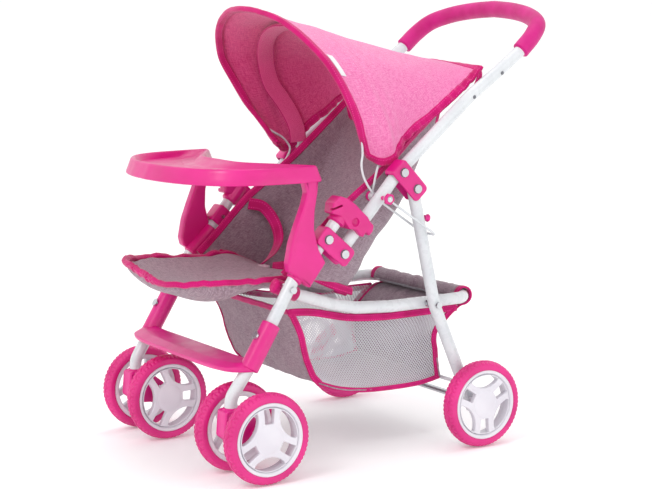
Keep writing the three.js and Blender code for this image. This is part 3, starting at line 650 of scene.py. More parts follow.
# ---------------------------------------------------------------- wheels
WHEEL_R = 57.5
WHEEL_HALF = 11
TYRE_INNER_R = 46
RIM_INNER_R = 39
HUB_R = 20
ZIGZAGS = 30


def tyre_shape():
    """Rounded shoulders and a tread of zigzag grooves with notches at the shoulders, on the X axis."""
    half, shoulder = WHEEL_HALF, 6.0
    section = [
        (TYRE_INNER_R - 0.4, -half + 2.6), (TYRE_INNER_R, -half + 1), (TYRE_INNER_R + 1, -half + 0.1),
        (TYRE_INNER_R + 2.4, -half - 0.1),
    ]
    for k in range(9):
        a = math.pi / 2 * k / 8
        across = -half + shoulder * (1 - math.cos(a))
        section.append((WHEEL_R - shoulder - 1 + shoulder * math.sin(a), across))
    flat = half - shoulder
    middle = [(WHEEL_R - 1 + 1.0 * (1 - (x / flat) ** 2), x) for x in np.linspace(-flat, flat, 15)[1:-1]]
    section = section + middle + [(r, -x) for r, x in reversed(section)]
    rings = []
    around = ZIGZAGS * 12
    for j in range(around):
        a = 2 * math.pi * j / around
        phase = (j / 12) % 1
        wave = abs(phase - 0.5) * 4 - 1
        notch = max(0.0, 1 - abs(((phase + 0.25) % 0.5) - 0.25) / 0.12)
        ring = []
        for r, x in section:
            if r > WHEEL_R - 4.5:
                depth = 0.0
                for groove in (-3.4, 3.4):
                    off = abs(x - groove - 1.9 * wave)
                    depth = max(depth, 1.5 * max(0.0, 1 - (off / 1.5) ** 2))
                outer = min(1.0, max(0.0, (abs(x) - 5.2) / 1.6))
                depth = max(depth, 1.4 * notch * outer)
                r -= depth * min(1.0, (r - WHEEL_R + 4.5) / 2.5)
            ring.append(vec(x, r * math.cos(a), r * math.sin(a)))
        rings.append(ring)
    return Shape().loft(rings, closed=True)


LENS_HALF = math.radians(35)
LENS_INNER_R = 22
WINDOW_HALF = 6.6


def window_outlines():
    """The rim's openings from outside: three wide ones, bowed toward the hub, and three windows between."""
    outlines = []
    reach = RIM_INNER_R + 0.2
    corner_x, corner_y = reach * math.sin(LENS_HALF), reach * math.cos(LENS_HALF)
    sag = corner_y - LENS_INNER_R
    bow_r = (corner_x**2 + sag**2) / (2 * sag)
    bow_half = math.asin(min(1, corner_x / bow_r))
    for arm in range(3):
        turn = 2 * math.pi * arm / 3

        def placed(points, angle):
            c, s = math.cos(angle), math.sin(angle)
            return [(x * c - y * s, x * s + y * c) for x, y in points]

        rim_arc = [(reach * math.sin(a), reach * math.cos(a)) for a in np.linspace(-LENS_HALF, LENS_HALF, 25)]
        bow = [
            (bow_r * math.sin(a), LENS_INNER_R + bow_r * (1 - math.cos(a)))
            for a in np.linspace(bow_half, -bow_half, 21)
        ]
        lens = [vec(x, y, 0) for x, y in rim_arc[1:-1] + bow[1:-1]]
        lens = spaced([*lens, lens[0]], 61)[:-1]
        outlines.append(placed([(p.x, p.y) for p in lens], turn + math.pi / 3))
        top = math.sqrt(reach**2 - (WINDOW_HALF + 0.8) ** 2)
        slot = [
            (-WINDOW_HALF + 0.6, HUB_R - 0.5), (-WINDOW_HALF - 0.8, top), (WINDOW_HALF + 0.8, top),
            (WINDOW_HALF - 0.6, HUB_R - 0.5),
        ]
        outlines.append(placed(rounded(slot, 1.4), turn))
    return outlines


def rim_shape():
    half = WHEEL_HALF - 1
    ring = (
        (RIM_INNER_R + 1.6, -half + 0.4), (RIM_INNER_R + 0.6, -half + 1.4), (RIM_INNER_R, -2),
        (RIM_INNER_R + 0.2, 4), (RIM_INNER_R + 2.6, half - 0.6), (RIM_INNER_R + 3.4, half + 0.1),
        (RIM_INNER_R + 4.4, half + 0.5), (TYRE_INNER_R - 1.0, half + 0.5), (TYRE_INNER_R - 0.2, half),
        (TYRE_INNER_R, half - 1), (TYRE_INNER_R, -half + 1), (TYRE_INNER_R - 0.6, -half + 0.2),
        (TYRE_INNER_R - 1.6, -half),
    )
    rings = []
    for j in range(120):
        a = 2 * math.pi * j / 120
        rings.append([vec(x, r * math.cos(a), r * math.sin(a)) for r, x in ring])
    shape = Shape().loft(rings, closed=True)
    outside = circle(RIM_INNER_R + 1.0, 120)
    shape.plate([outside, *window_outlines()], 0.5, half - 1.2, 1.0, resolution=3)
    cap = [(0, 1), (HUB_R - 1.2, 1), (HUB_R - 1, half - 2.2)]
    for k in range(1, 9):
        a = math.pi / 2 * k / 8
        cap.append(((HUB_R - 1) * math.cos(a * 0.96) * 0.97 + 0.3, half - 1.9 + 2.3 * math.sin(a)))
    cap.append((0, half + 0.45))
    shape.lathe(cap, (0, 0, 0), sides=72)
    sleeve = ((5, -half - 2), (9.2, -half - 2), (9.8, -half - 1.2), (9.8, 2), (5, 2))
    shape.lathe(sleeve, (0, 0, 0), sides=40)
    for k in range(6):
        a = math.pi / 3 * k + math.pi / 6
        y, z = math.cos(a), math.sin(a)
        fin = [(y * r - z * w, z * r + y * w) for r, w in ((9, -0.8), (17, -0.8), (17, 0.8), (9, 0.8))]
        shape.plate([fin], -half + 2, 1.5, 0.3)
    return shape


def make_wheels(m):
    tyre, rim = tyre_shape().mesh("tyre"), rim_shape().mesh("rim", 30)
    tyre.materials.append(m["tyre"])
    rim.materials.append(m["rim"])
    for side, label in SIDES:
        wheels = (
            (f"front_inner_{label}", f"front_inner_wheel_{label}", -side, 0.5),
            (f"front_outer_{label}", f"front_outer_wheel_{label}", side, 0.0),
            (f"rear_{label}", f"rear_wheel_{label}", side, math.pi),
        )
        for name, body, outward, spin in wheels:
            low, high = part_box(f"{name}_tyre")
            centre = Vector(((low.x + high.x) / 2, (low.y + high.y) / 2, WHEEL_R * MM))
            facing = Matrix.Rotation(0 if outward > 0 else math.pi, 4, "Z")
            for part, mesh in (("tyre", tyre), ("rim", rim)):
                piece = put(f"{name}_{part}_round", mesh, [])
                piece.matrix_world = Matrix.Translation(centre) @ Matrix.Rotation(spin, 4, "X") @ facing
                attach(piece, body)
                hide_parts(f"{name}_{part}")


# ---------------------------------------------------------------- screws, knobs and wires
def screw_mesh(m):
    """A pan head with a cross recess, facing +X, its base at the origin."""
    head = ((0, -1.5), (4.4, -1.5), (4.9, 0.2), (4.9, 0.8), (4.4, 1.7), (3.0, 2.4), (1.4, 2.7), (0, 2.75))
    piece = put("screw_template", Shape().lathe(head, (0, 0, 0), sides=40), m["chrome"])
    slots = []
    for a, b in ((2.9, 0.62), (0.62, 2.9)):
        arm = rounded([(-a, -b), (a, -b), (a, b), (-a, b)], 0.3)
        slots.append(Shape().plate([arm], 1.3, 4, 0.1))
    carve(piece, *slots)
    mesh = piece.data
    bpy.data.objects.remove(piece)
    return mesh


def make_screws(m):
    head = screw_mesh(m)
    pins = (
        ("lower_leg_screw", LEG_PIN, 20),
        ("fold_pivot_screw", FOLD_PIVOT, 55),
        ("handle_screw", HANDLE_PIN, 35),
        ("rear_leg_screw", REAR_LEG_PIVOT, 70),
    )
    bodies = frame["record"]["behaviour"]["bodies"]
    for side, label in SIDES:
        for name, (y, z), turn in pins:
            owner = next(body for body, nodes in bodies.items() if f"{name}_{label}" in nodes)
            piece = put(f"{name}_head_{label}", head, [])
            facing = Matrix.Rotation(0 if side > 0 else math.pi, 4, "Z")
            spin = Matrix.Rotation(math.radians(turn), 4, "X")
            piece.matrix_world = Matrix.Translation(vec(side * 149.0, y, z) * MM) @ facing @ spin
            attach(piece, owner)
            seat = ((5, -0.6), (6.1, -0.6), (6.1, 0.35), (5.6, 0.6), (5, 0.2), (5, -0.6))
            ring = Shape().lathe(seat, (side * 149.2, y, z), (side, 0, 0), 40)
            put(f"{name}_seat_{label}", ring, m["dark_steel"], owner)
        for k, (y, z) in enumerate(((134, 459.5), (179, 489.5))):
            rivet = Shape().lathe(
                ((0, -2), (2.6, -2), (2.6, 0.3), (1.9, 1.3), (0, 1.7)), (side * 143.6, y, z),
                (side, 0, -0.25), 24,
            )
            put(f"handle_rivet_{label}_{k + 1}", rivet, m["dark_steel"], "handle_frame")
    for name in frame["nodes"]:
        if "screw" in name or "bolt" in name or "axle" in name:
            node = frame["nodes"][name]
            node.data.materials.clear()
            node.data.materials.append(m["chrome"])


# ---------------------------------------------------------------- brackets, clips and caster housings
BRACKET_R = 13
CHEEK_X = (127, 149)


def bracket_outline(cut_end, round_end):
    """Straight across at one end and round at the other."""
    (y, z), (b, c) = cut_end, round_end
    size = math.hypot(b - y, c - z)
    run, across = ((b - y) / size, (c - z) / size), (-(c - z) / size, (b - y) / size)
    points = []
    corners = ((cut_end, -12, 1), (cut_end, -12, -1), (round_end, BRACKET_R, -1), (round_end, BRACKET_R, 1))
    for (py, pz), along, side in corners:
        out = side * BRACKET_R
        points.append((py + run[0] * along + across[0] * out, pz + run[1] * along + across[1] * out))
    return rounded(points, [4.5, 4.5, BRACKET_R - 0.2, BRACKET_R - 0.2], 14)


def carved_block(name, side, ends, degrees, m, body, node):
    """A bracket: two cheeks joined by a web in front of the tubes, open behind."""
    low, high = (CHEEK_X[0], CHEEK_X[1]) if side > 0 else (-CHEEK_X[1], -CHEEK_X[0])
    block = Shape().plate([bracket_outline(*ends)], low, high, 2.4, resolution=4)
    piece = put(name, block, m["plastic"], body, [node], 30)
    a = math.radians(degrees)

    def corner(along, front):
        return (
            ends[0][0] + along * math.cos(a) - front * math.sin(a),
            ends[0][1] + along * math.sin(a) + front * math.cos(a),
        )

    room = [corner(-40, TUBE_R + 0.8), corner(-40, -70), corner(40, -70), corner(40, TUBE_R + 0.8)]
    inside = (LEG_X - 9.2, LEG_X + 8.4)
    space = Shape().plate([room], *(inside if side > 0 else (-inside[1], -inside[0])), 0.4)
    return carve(piece, space, sharp=30)


def make_brackets(m):
    for side, label in SIDES:
        carved_block(
            f"lower_bracket_shell_{label}", side, (LEG_PIN, FOLD_PIVOT), 50, m, "front_frame",
            f"lower_bracket_{label}",
        )
        carved_block(
            f"upper_bracket_shell_{label}", side, (HANDLE_PIN, REAR_LEG_PIVOT), 44, m, "handle_frame",
            f"upper_bracket_{label}",
        )


def make_studio_floor():
    """A wide disc that curves up far behind the object on every side."""
    f = Finish(
        "studio_floor", Roughness=0.85, Specular_IOR_Level=0.15, Emission_Strength=0.15,
        Emission_Color=(1, 1, 1, 1),
    )
    f.feed("Base Color", f.mix(f.noise(3, 2), rgb(252, 252, 252), rgb(250, 250, 250)))
    profile = [(r, 0.0) for r in (0.5, 1, 2, 3, 4, 5)]
    for k in range(1, 13):
        a = math.pi / 2 * k / 12
        profile.append((5 + 4 * math.sin(a), 4 * (1 - math.cos(a))))
    profile.append((9, 9))
    points, faces, sides = [(0, 0, 0)], [], 64
    for r, z in profile:
        points += [(r * c, r * s, z) for c, s in circle(1, sides)]
    for k in range(sides):
        faces.append([0, 1 + k, 1 + (k + 1) % sides])
        for i in range(len(profile) - 1):
            a, b = 1 + i * sides + k, 1 + i * sides + (k + 1) % sides
            faces.append([a, a + sides, b + sides, b])
    mesh = bpy.data.meshes.new("floor")
    mesh.from_pydata(points, [], faces)
    mesh.shade_smooth()
    mesh.materials.append(f.material)
    floor = bpy.data.objects.new("floor", mesh)
    bpy.context.scene.collection.objects.link(floor)


# ---------------------------------------------------------------- mouldings
SLEEVE = ((-203, 138.8), (-171, 190.2))
# X, front, back and top of the shelf
SHELF = ((0, -239, -197, 149), (60, -238.6, -197, 149), (100, -237, -197, 149), (122, -233, -196, 149.3),
         (134, -228, -195, 150), (141, -220, -195, 150), (147, -207, -196, 149))


def make_footrest(m):
    half = curve_through([vec(x, front, back) for x, front, back, _ in SHELF], 6)
    tops = curve_through([vec(x, top, 0) for x, _, _, top in SHELF], 6)
    rings = []
    stations = [(p.x, p.y, p.z, t.y) for p, t in zip(half, tops)]
    stations = [(-x, *rest) for x, *rest in stations[:0:-1]] + stations
    for x, front, back, top in stations:
        outline = rounded(
            [(back, 136), (back, top), (front + 12, top - 3), (front, top - 8), (front + 1.5, 136)],
            [3, 3.5, 6, 4, 2], 10,
        )
        loop = spaced([vec(x, y, z) for y, z in [*outline, outline[0]]], 49)[:-1]
        rings.append(loop)
    shape = Shape().loft(rings)
    for side in (1, -1):
        shape.tube(in_plane(side * LEG_X, SLEEVE), 12, 36, taper=1.6)
    put("footrest_shell", shape, m["plastic"], "front_frame", ["footrest"], 40)


CASTER = (
    (-243, 58), (-240, 89), (-236, 91), (-217, 91), (-204, 82), (-189, 70), (-187, 52), (-203, 45),
    (-230, 47),
)


def make_casters(m):
    for side, label in SIDES:
        x = side * CASTER_X
        shape = Shape().plate([rounded(CASTER, [6, 2, 2, 2, 8, 8, 8, 8, 7])], x - 12, x + 12, 3, resolution=4)
        shape.lathe(((0, -25), (8, -25), (9, -24), (9, 24), (8, 25), (0, 25)), (x, -199, WHEEL_R), sides=40)
        shape.tube([vec(x, -227, 70), vec(x, -227, 91.5)], 10.6, 36, taper=1.2)
        put(
            f"caster_shell_{label}", shape, m["plastic"], f"caster_{label}",
            [f"caster_housing_{label}"],
        )


CLIP = ((-88.6, 323), (-86.7, 336.6), (-76.3, 344.7), (-64, 340.3), (-53, 332.2), (-43.2, 322.6),
(-35.5, 315.5),
        (-31.5, 309), (-26.5, 304), (-28, 296.5), (-33.5, 291), (-38.5, 296), (-42.5, 290), (-48.5, 293.5),
        (-53.5, 300.5), (-63, 301.6), (-69.2, 310.4), (-76, 319.4))
CLIP_CORNERS = (3, 6, 8, 6, 6, 6, 3, 3, 3.5, 3.5, 2.5, 1.5, 2.5, 3, 3, 3, 3, 3)
THUMB = (-54.4, 310.3)


def make_clips(m):
    for side, label in SIDES:
        low, high = (129, 150.4) if side > 0 else (-150.4, -129)
        body = Shape().plate([rounded(CLIP, list(CLIP_CORNERS))], low, high, 2.2, resolution=4)
        piece = put(
            f"fold_clip_shell_{label}", body, m["plastic"], "front_frame",
            [f"fold_clip_{label}"], 32,
        )
        bite = Shape().lathe(
            ((0, -3), (2.4, -3), (4.6, -1.6), (5.7, 1), (6.1, 6), (0, 6)), (side * 149.6, *THUMB),
            (side, 0, 0), 36,
        )
        notch = Shape().plate(
            [((-92, 329), (-74, 334), (-73, 331.5), (-92, 326))],
            *((143, 160) if side > 0 else (-160, -143)), 0.3,
        )
        carve(piece, bite, notch, sharp=32)
        cap = Shape().tube(in_plane(side * LEG_X, ((-76.5, 311), (-60, 330.5))), 11.8, 36, taper=3)
        put(f"fold_clip_cap_{label}", cap, m["plastic"], "front_frame")


TRAY_SIDE = ((150, -106), (153, -128), (152, -150), (146, -195), (125, -232), (88, -256), (45, -268))
TRAY_WAIST = ((50, -154), (90, -130), (120, -110), (140, -101))
FLOOR_SIDE = ((131, -136), (136, -160), (131, -190), (113, -222), (81, -243), (41, -254))
FLOOR_WAIST = ((50, -176), (90, -155), (118, -137))
RECESS_SIDE = ((107, -168), (111, -184), (99, -210), (73, -230), (37, -240))
RECESS_WAIST = ((50, -190), (84, -176))


def ring_outline(side, front_y, waist, waist_y, count=168):
    """A closed outline symmetrical in X, from the middle of the waist round to it, with even steps."""
    half = [(0, waist_y), *waist, *side, (0, front_y)]
    line = curve_through(
        [vec(-x, y, 0) for x, y in reversed(half[:2])][:1] + [vec(x, y, 0) for x, y in half], 10,
    )
    line = spaced(line[10:], count // 2 + 1)
    return line + [vec(-p.x, p.y, 0) for p in line[-2:0:-1]]


def outward_of(line):
    """The horizontal direction out of a closed outline at each point, smoothed along it."""
    count = len(line)
    raw = []
    for i in range(count):
        t = line[(i + 1) % count] - line[i - 1]
        raw.append(Vector((-t.y, t.x, 0)).normalized())
    area = sum(a.x * b.y - a.y * b.x for a, b in zip(line, line[1:] + line[:1]))
    sign = -1 if area > 0 else 1
    out = []
    for i in range(count):
        total = sum((raw[(i + k) % count] for k in range(-2, 3)), Vector((0, 0, 0)))
        out.append(total.normalized() * sign)
    return out


def make_tray(m):
    edge = ring_outline(TRAY_SIDE, -272, TRAY_WAIST, -157)
    floor = ring_outline(FLOOR_SIDE, -258, FLOOR_WAIST, -186)
    recess = ring_outline(RECESS_SIDE, -244, RECESS_WAIST, -192)
    out = outward_of(edge)

    def ring(distance, z):
        return [p + d * distance + vec(0, 0, z) for p, d in zip(edge, out)]

    def between(share, z, a, b):
        return [p.lerp(q, share) + vec(0, 0, z) for p, q in zip(a, b)]

    rim = [p + d * -10.5 for p, d in zip(edge, out)]
    rings = [
        ring(-4.5, 366.8), ring(-2.4, 364.6), ring(-0.6, 364.2), ring(0.3, 365.2), ring(0, 367.5),
        ring(-2.2, 373), ring(-4.4, 379),
        ring(-5.6, 382.2), ring(-6.8, 383.6), ring(-8.4, 384.2), ring(-9.6, 384), ring(-10.5, 383.1),
        between(0.35, 380.9, rim, floor), between(0.75, 377.6, rim, floor), between(0.93, 376.3, rim, floor),
        between(1.0, 375.8, rim, floor), between(0.12, 375.5, floor, recess),
        between(0.9, 374.9, floor, recess),
        between(1.0, 374.7, floor, recess),
    ]
    middle = vec(0, -214, 0)
    for share, z in ((0.95, 374.4), (0.86, 374), (0.5, 373.6), (0.1, 373.5)):
        rings.append([middle.lerp(p, share) + vec(0, 0, z) for p in recess])
    under = [p.lerp(q, 0.3) + vec(0, 0, 367.5) for p, q in zip(edge, floor)]
    shape = Shape().loft(
        [
            [middle.lerp(p, 0.2) + vec(0, 0, 369.6) for p in recess],
            [p + vec(0, 0, 369.4) for p in recess], under,
        ]
        + rings
    )
    for side in (1, -1):
        upper = ((-107, 371), (-109, 352), (-113.5, 328), (-114.5, 305), (-108, 279.5), (-98, 262.5),
        (-121.5, 232.5),
                 (-136, 245), (-150, 254.5), (-152.5, 265), (-147.5, 290), (-139, 312), (-129, 336),
                 (-124.5, 352), (-129, 368))
        corners = [2, 12, 20, 20, 12, 3, 2, 6, 6, 8, 20, 20, 14, 8, 2]
        outline = rounded(upper, corners, 8)
        shape.plate([outline], *((136, 150.6) if side > 0 else (-150.6, -136)), 3.2, resolution=4)
        shape.tube(in_plane(side * LEG_X, ((-138.5, 243.5), (-106, 273.5))), 10.6, 36, taper=2.5)
    put("tray_shell", shape, m["plastic"], "front_frame", ["tray"], 38)


def make_hardware(m):
    for side, label in SIDES:
        nut = Shape().lathe(
            ((0, -2.2), (6.6, -2.2), (7.6, -1.4), (7.6, 1.6), (6.8, 2.3), (0, 2.3)),
            (side * 158.4, *CANOPY_PIVOT), (side, 0, 0), 6,
        )
        knob = ((0, -2.3), (4.2, -2.3), (6.2, -1.4), (6.6, 0), (6.2, 1.4), (4.2, 2.2), (0, 2.4))
        nut.lathe(knob, (side * 115, *CANOPY_PIVOT), (side, 0, 0), 40)
        nut.lathe(((0, 0), (2.8, 0), (2.8, 40), (0, 40)), (side * 117, *CANOPY_PIVOT), (side, 0, 0), 20)
        body = "handle_frame"
        put(f"canopy_knob_{label}", nut, m["plastic"], body, [f"canopy_pivot_{label}"])
        cap = Shape().lathe(
            ((0, -1), (3.7, -1), (3.9, 0.6), (3.0, 1.6), (1.2, 2.1), (0, 2.15)),
            (side * 160.6, *CANOPY_PIVOT), (side, 0, 0), 32,
        )
        put(f"canopy_screw_{label}", cap, m["chrome"], body)
    stem = ((0, -3), (3.4, -3), (3.6, 0), (4.6, 0.6), (5.2, 2), (4.6, 3.4), (2.6, 4.2), (0, 4.4))
    put(
        "catch_knob_round", Shape().lathe(stem, (LEG_X, 62, 306), (0, 1, -0.15), 36), m["plastic"],
        "rear_frame", ["catch_knob"],
    )
    end = (66.5, 285)
    corners = [vec(154.5, *CANOPY_PIVOT), vec(154.5, *end), vec(122, *end), vec(122, *CANOPY_PIVOT)]
    loop = Shape().tube(bend(corners, 8, 10), 1.5, 14)
    for x in (154.5, 122):
        loop.lathe(
            ((3.3, -1.5), (5, -1.5), (5.5, -0.8), (5.5, 0.8), (5, 1.5), (3.3, 1.5), (3.3, -1.5)),
            (x, *CANOPY_PIVOT), sides=32,
        )
    put("catch_wire", loop, m["paint"], "catch", ["catch_loop"])
    bows = (
        ("front_bow", FRONT_LEFT_FOOT, FRONT_HOOP, FRONT_RIGHT_FOOT),
        ("mid_bow", MID_LEFT_FOOT, MID_HOOP, MID_RIGHT_FOOT),
    )
    eye = ((3.3, -1.2), (5, -1.2), (5.5, -0.6), (5.5, 0.6), (5, 1.2), (3.3, 1.2), (3.3, -1.2))
    for name, left, hoop, right in bows:
        wire = Shape().tube(curve_through(bow_route(left, hoop, right), 4), BOW_WIRE_R, 12)
        for foot in (left[0], right[0]):
            wire.lathe(eye, foot, sides=32)
        put(f"{name}_wire", wire, m["paint"], name, [name])


# ---------------------------------------------------------------- cloth
def grid_faces(rows, columns):
    """The faces of a grid of points, and its border as a closed run of points."""
    quads = []
    for i in range(rows - 1):
        for k in range(columns - 1):
            a = i * columns + k
            quads.append([a, a + 1, a + columns + 1, a + columns])
    ring = list(range(columns)) + [i * columns + columns - 1 for i in range(1, rows)]
    ring += [(rows - 1) * columns + k for k in range(columns - 2, -1, -1)]
    ring += [i * columns for i in range(rows - 2, 0, -1)]
    return quads, ring


class Cloth:
    """A curved sheet given by rows of points. Its face is the side its normals leave."""

    def __init__(self, rows, flip=False):
        self.points = np.array([[list(p) for p in row] for row in rows], float)
        self.flip = flip
        self.refresh()

    def refresh(self):
        p = self.points
        cross = np.cross(np.gradient(p, axis=0), np.gradient(p, axis=1))
        size = np.linalg.norm(cross, axis=2, keepdims=True)
        self.normals = cross / np.maximum(size, 1e-9) * (-1 if self.flip else 1)
        steps = np.linalg.norm(np.diff(p, axis=0), axis=2).mean(axis=1)
        self.along = np.concatenate([[0], np.cumsum(steps)])
        steps = np.linalg.norm(np.diff(p, axis=1), axis=2).mean(axis=0)
        self.across = np.concatenate([[0], np.cumsum(steps)])

    def push(self, amount):
        """Moves the cloth along its normals by an array, or by a function of (row, column) shares."""
        rows, columns = self.points.shape[:2]
        if callable(amount):
            shares = [(i / (rows - 1), k / (columns - 1)) for i in range(rows) for k in range(columns)]
            amount = np.array([amount(v, u) for v, u in shares]).reshape(rows, columns)
        self.points = self.points + self.normals * amount[..., None]
        self.refresh()
        return self

    def sample(self, array, v, u):
        rows, columns = self.points.shape[:2]
        a, b = v * (rows - 1), u * (columns - 1)
        i, k = min(int(a), rows - 2), min(int(b), columns - 2)
        s, t = a - i, b - k
        here = array[i, k] * (1 - t) + array[i, k + 1] * t
        beyond = array[i + 1, k] * (1 - t) + array[i + 1, k + 1] * t
        return Vector(here * (1 - s) + beyond * s)

    def at(self, v, u, lift=0.0):
        return self.sample(self.points, v, u) + self.sample(self.normals, v, u).normalized() * lift

    def normal(self, v, u):
        return self.sample(self.normals, v, u).normalized()

    def shell(self, thickness, shape=None, slots=(0, 1)):
        """A thin closed sheet, with a slot for its face and one for its back."""
        shape = shape or Shape()
        rows, columns = self.points.shape[:2]
        face = self.points + self.normals * thickness / 2
        back = self.points - self.normals * thickness / 2
        base_uv = [(u * MM, v * MM) for v in self.along for u in self.across]
        quads, ring = grid_faces(rows, columns)
        offset = rows * columns
        points = [Vector(p) for p in face.reshape(-1, 3)] + [Vector(p) for p in back.reshape(-1, 3)]
        sides = [[a, b, b + offset, a + offset] for a, b in zip(ring, ring[1:] + ring[:1])]
        if self.flip:
            quads = [q[::-1] for q in quads]
        else:
            sides = [q[::-1] for q in sides]
        under = [[i + offset for i in reversed(q)] for q in quads]
        shape.add(points, quads + under + sides, slots[0], base_uv * 2)
        count = len(shape.slots) - len(quads) - len(sides)
        for i in range(count, count + len(quads)):
            shape.slots[i] = slots[1]
        return shape

    def band(self, shape, path, width, thickness, lift=0.0, wave=0.0, seed=0.0, slot=0, sides=14):
        """A folded tape along a path of (row, column) shares on the sheet."""
        line = [self.at(v, u) for v, u in path]
        facing = [self.normal(v, u) for v, u in path]
        moved = []
        for i, (p, n) in enumerate(zip(line, facing)):
            ripple = noise.noise(Vector((i * 0.35 + seed, seed * 3.1, 0.5))) * wave
            moved.append(p + n * (lift + ripple))
        return shape.sweep(moved, oval(width, thickness, sides), facing, slot, taper=0.8)


def edge_path(start, end, steps, inset_rows=0.0, inset_columns=0.0):
    (v0, u0), (v1, u1) = start, end
    out = []
    for k in range(steps + 1):
        s = k / steps
        v = v0 + (v1 - v0) * s + inset_rows
        u = u0 + (u1 - u0) * s + inset_columns
        out.append((min(max(v, 0), 1), min(max(u, 0), 1)))
    return out


def evenly(points, count):
    return [list(p) for p in spaced(curve_through([Vector(p) for p in points], 10), count)]


def ripples(scale, seed):
    return lambda a, b: noise.noise(Vector((a * scale + seed, b * scale * 1.7 - seed, seed * 0.37)))


CANOPY_MOUTH = (
    (113, -13, 390), (118, -21.5, 400), (122.5, -27.5, 410), (127, -33.5, 420), (132, -39.3, 430),
    (136, -45.6, 440), (140, -54.6, 455), (142, -63.3, 470), (143, -72.6, 485), (142, -82.4, 500),
    (139, -88.7, 510), (133, -94.6, 520), (124, -100.8, 530), (114, -106.9, 540), (101, -112.9, 550),
    (84, -118.6, 560), (63, -124, 568), (36, -130, 574.5), (0, -134.5, 577.5),
)
CANOPY_REAR = ((124, 159.5, 497), (60, 156, 501), (0, 154, 502.5))
CANOPY_LOW = (
    (113, -13, 390), (117, -8.5, 383.5), (120.5, -1, 378.8), (122.5, 8, 377.3), (124, 17, 379.3),
    (124.5, 24, 384.5), (123.5, 28.5, 392), (122.5, 34.5, 400), (122, 43.5, 408), (121.5, 58.5, 420),
    (122, 75.5, 430), (123, 89, 440), (124, 117, 460.7), (124, 139.5, 479), (124, 159.5, 497),
)
CANOPY_STRAP = ((122, 157, 495), (126.4, 155.5, 487), (127.6, 150, 476), (129, 143, 466))
CANOPY_ROWS = 61
CANOPY_COLUMNS = 121


def across_both(half):
    """An edge given from its left end to the middle, carried on to the right with even steps."""
    half = [vec(*p) for p in half]
    return spaced(curve_through(half + mirror(half)[1:], 8), CANOPY_COLUMNS)


def canopy_cloth():
    mouth, rear = across_both(CANOPY_MOUTH), across_both(CANOPY_REAR)
    rows = []
    for i, edge in enumerate(evenly(CANOPY_LOW, CANOPY_ROWS)):
        v = i / (CANOPY_ROWS - 1)
        off = Vector(edge) - mouth[0].lerp(rear[0], v)
        row = []
        for k, (front, back) in enumerate(zip(mouth, rear)):
            u = k / (CANOPY_COLUMNS - 1)
            left, right = max(0, 1 - u / 0.4) ** 2.2, max(0, 1 - (1 - u) / 0.4) ** 2.2
            moved = vec(off.x * (left - right), off.y * (left + right), off.z * (left + right))
            row.append(front.lerp(back, v) + moved)
        rows.append(row)
    cloth = Cloth(rows)
    wrinkle = ripples(5.0, 3.3)
    fine = ripples(13.0, 8.1)

    def relief(v, u):
        side = min(u, 1 - u) * 2
        crest_sag = -3.5 * math.sin(math.pi * min(max((v - 0.27) / 0.73, 0), 1)) * side**1.2
        fore_sag = -1.6 * math.sin(math.pi * min(v / 0.27, 1)) * side
        rays = 0.0
        for centre, reach, depth in (
            (0.13, 0.45, 3.0), (0.2, 0.7, 3.4), (0.28, 0.6, 2.6), (0.42, 0.4, 1.8), (0.6, 0.4, 1.5),
            (0.78, 0.35, 1.3),
        ):
            lean = centre + (side - 0.1) * (centre - 0.16) * 0.5
            spread = 0.014 + 0.045 * side
            fade = max(0.0, 1 - side / reach)
            rays += depth * math.exp(-(((v - lean) / spread) ** 2)) * fade * (1 - math.exp(-side * 12))
        lobe = 4.5 * math.exp(-(((v - 0.17) / 0.12) ** 2)) * math.exp(-(((side - 0.13) / 0.12) ** 2))
        gathers = 1.0 * math.sin(v * 74) * math.exp(-side * 18) * (1 if v > 0.3 else 0.4)
        border = min(1.0, v * 14) * min(1.0, (1 - v) * 10)
        return (
            crest_sag + fore_sag + rays + lobe + 1.7 * wrinkle(v, u * 1.6) + 0.7 * fine(v, u)
        ) * border + gathers * border

    return cloth.push(relief)


def canopy_blend(piece):
    """Bakes the piece's placement into its mesh."""
    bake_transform(piece)


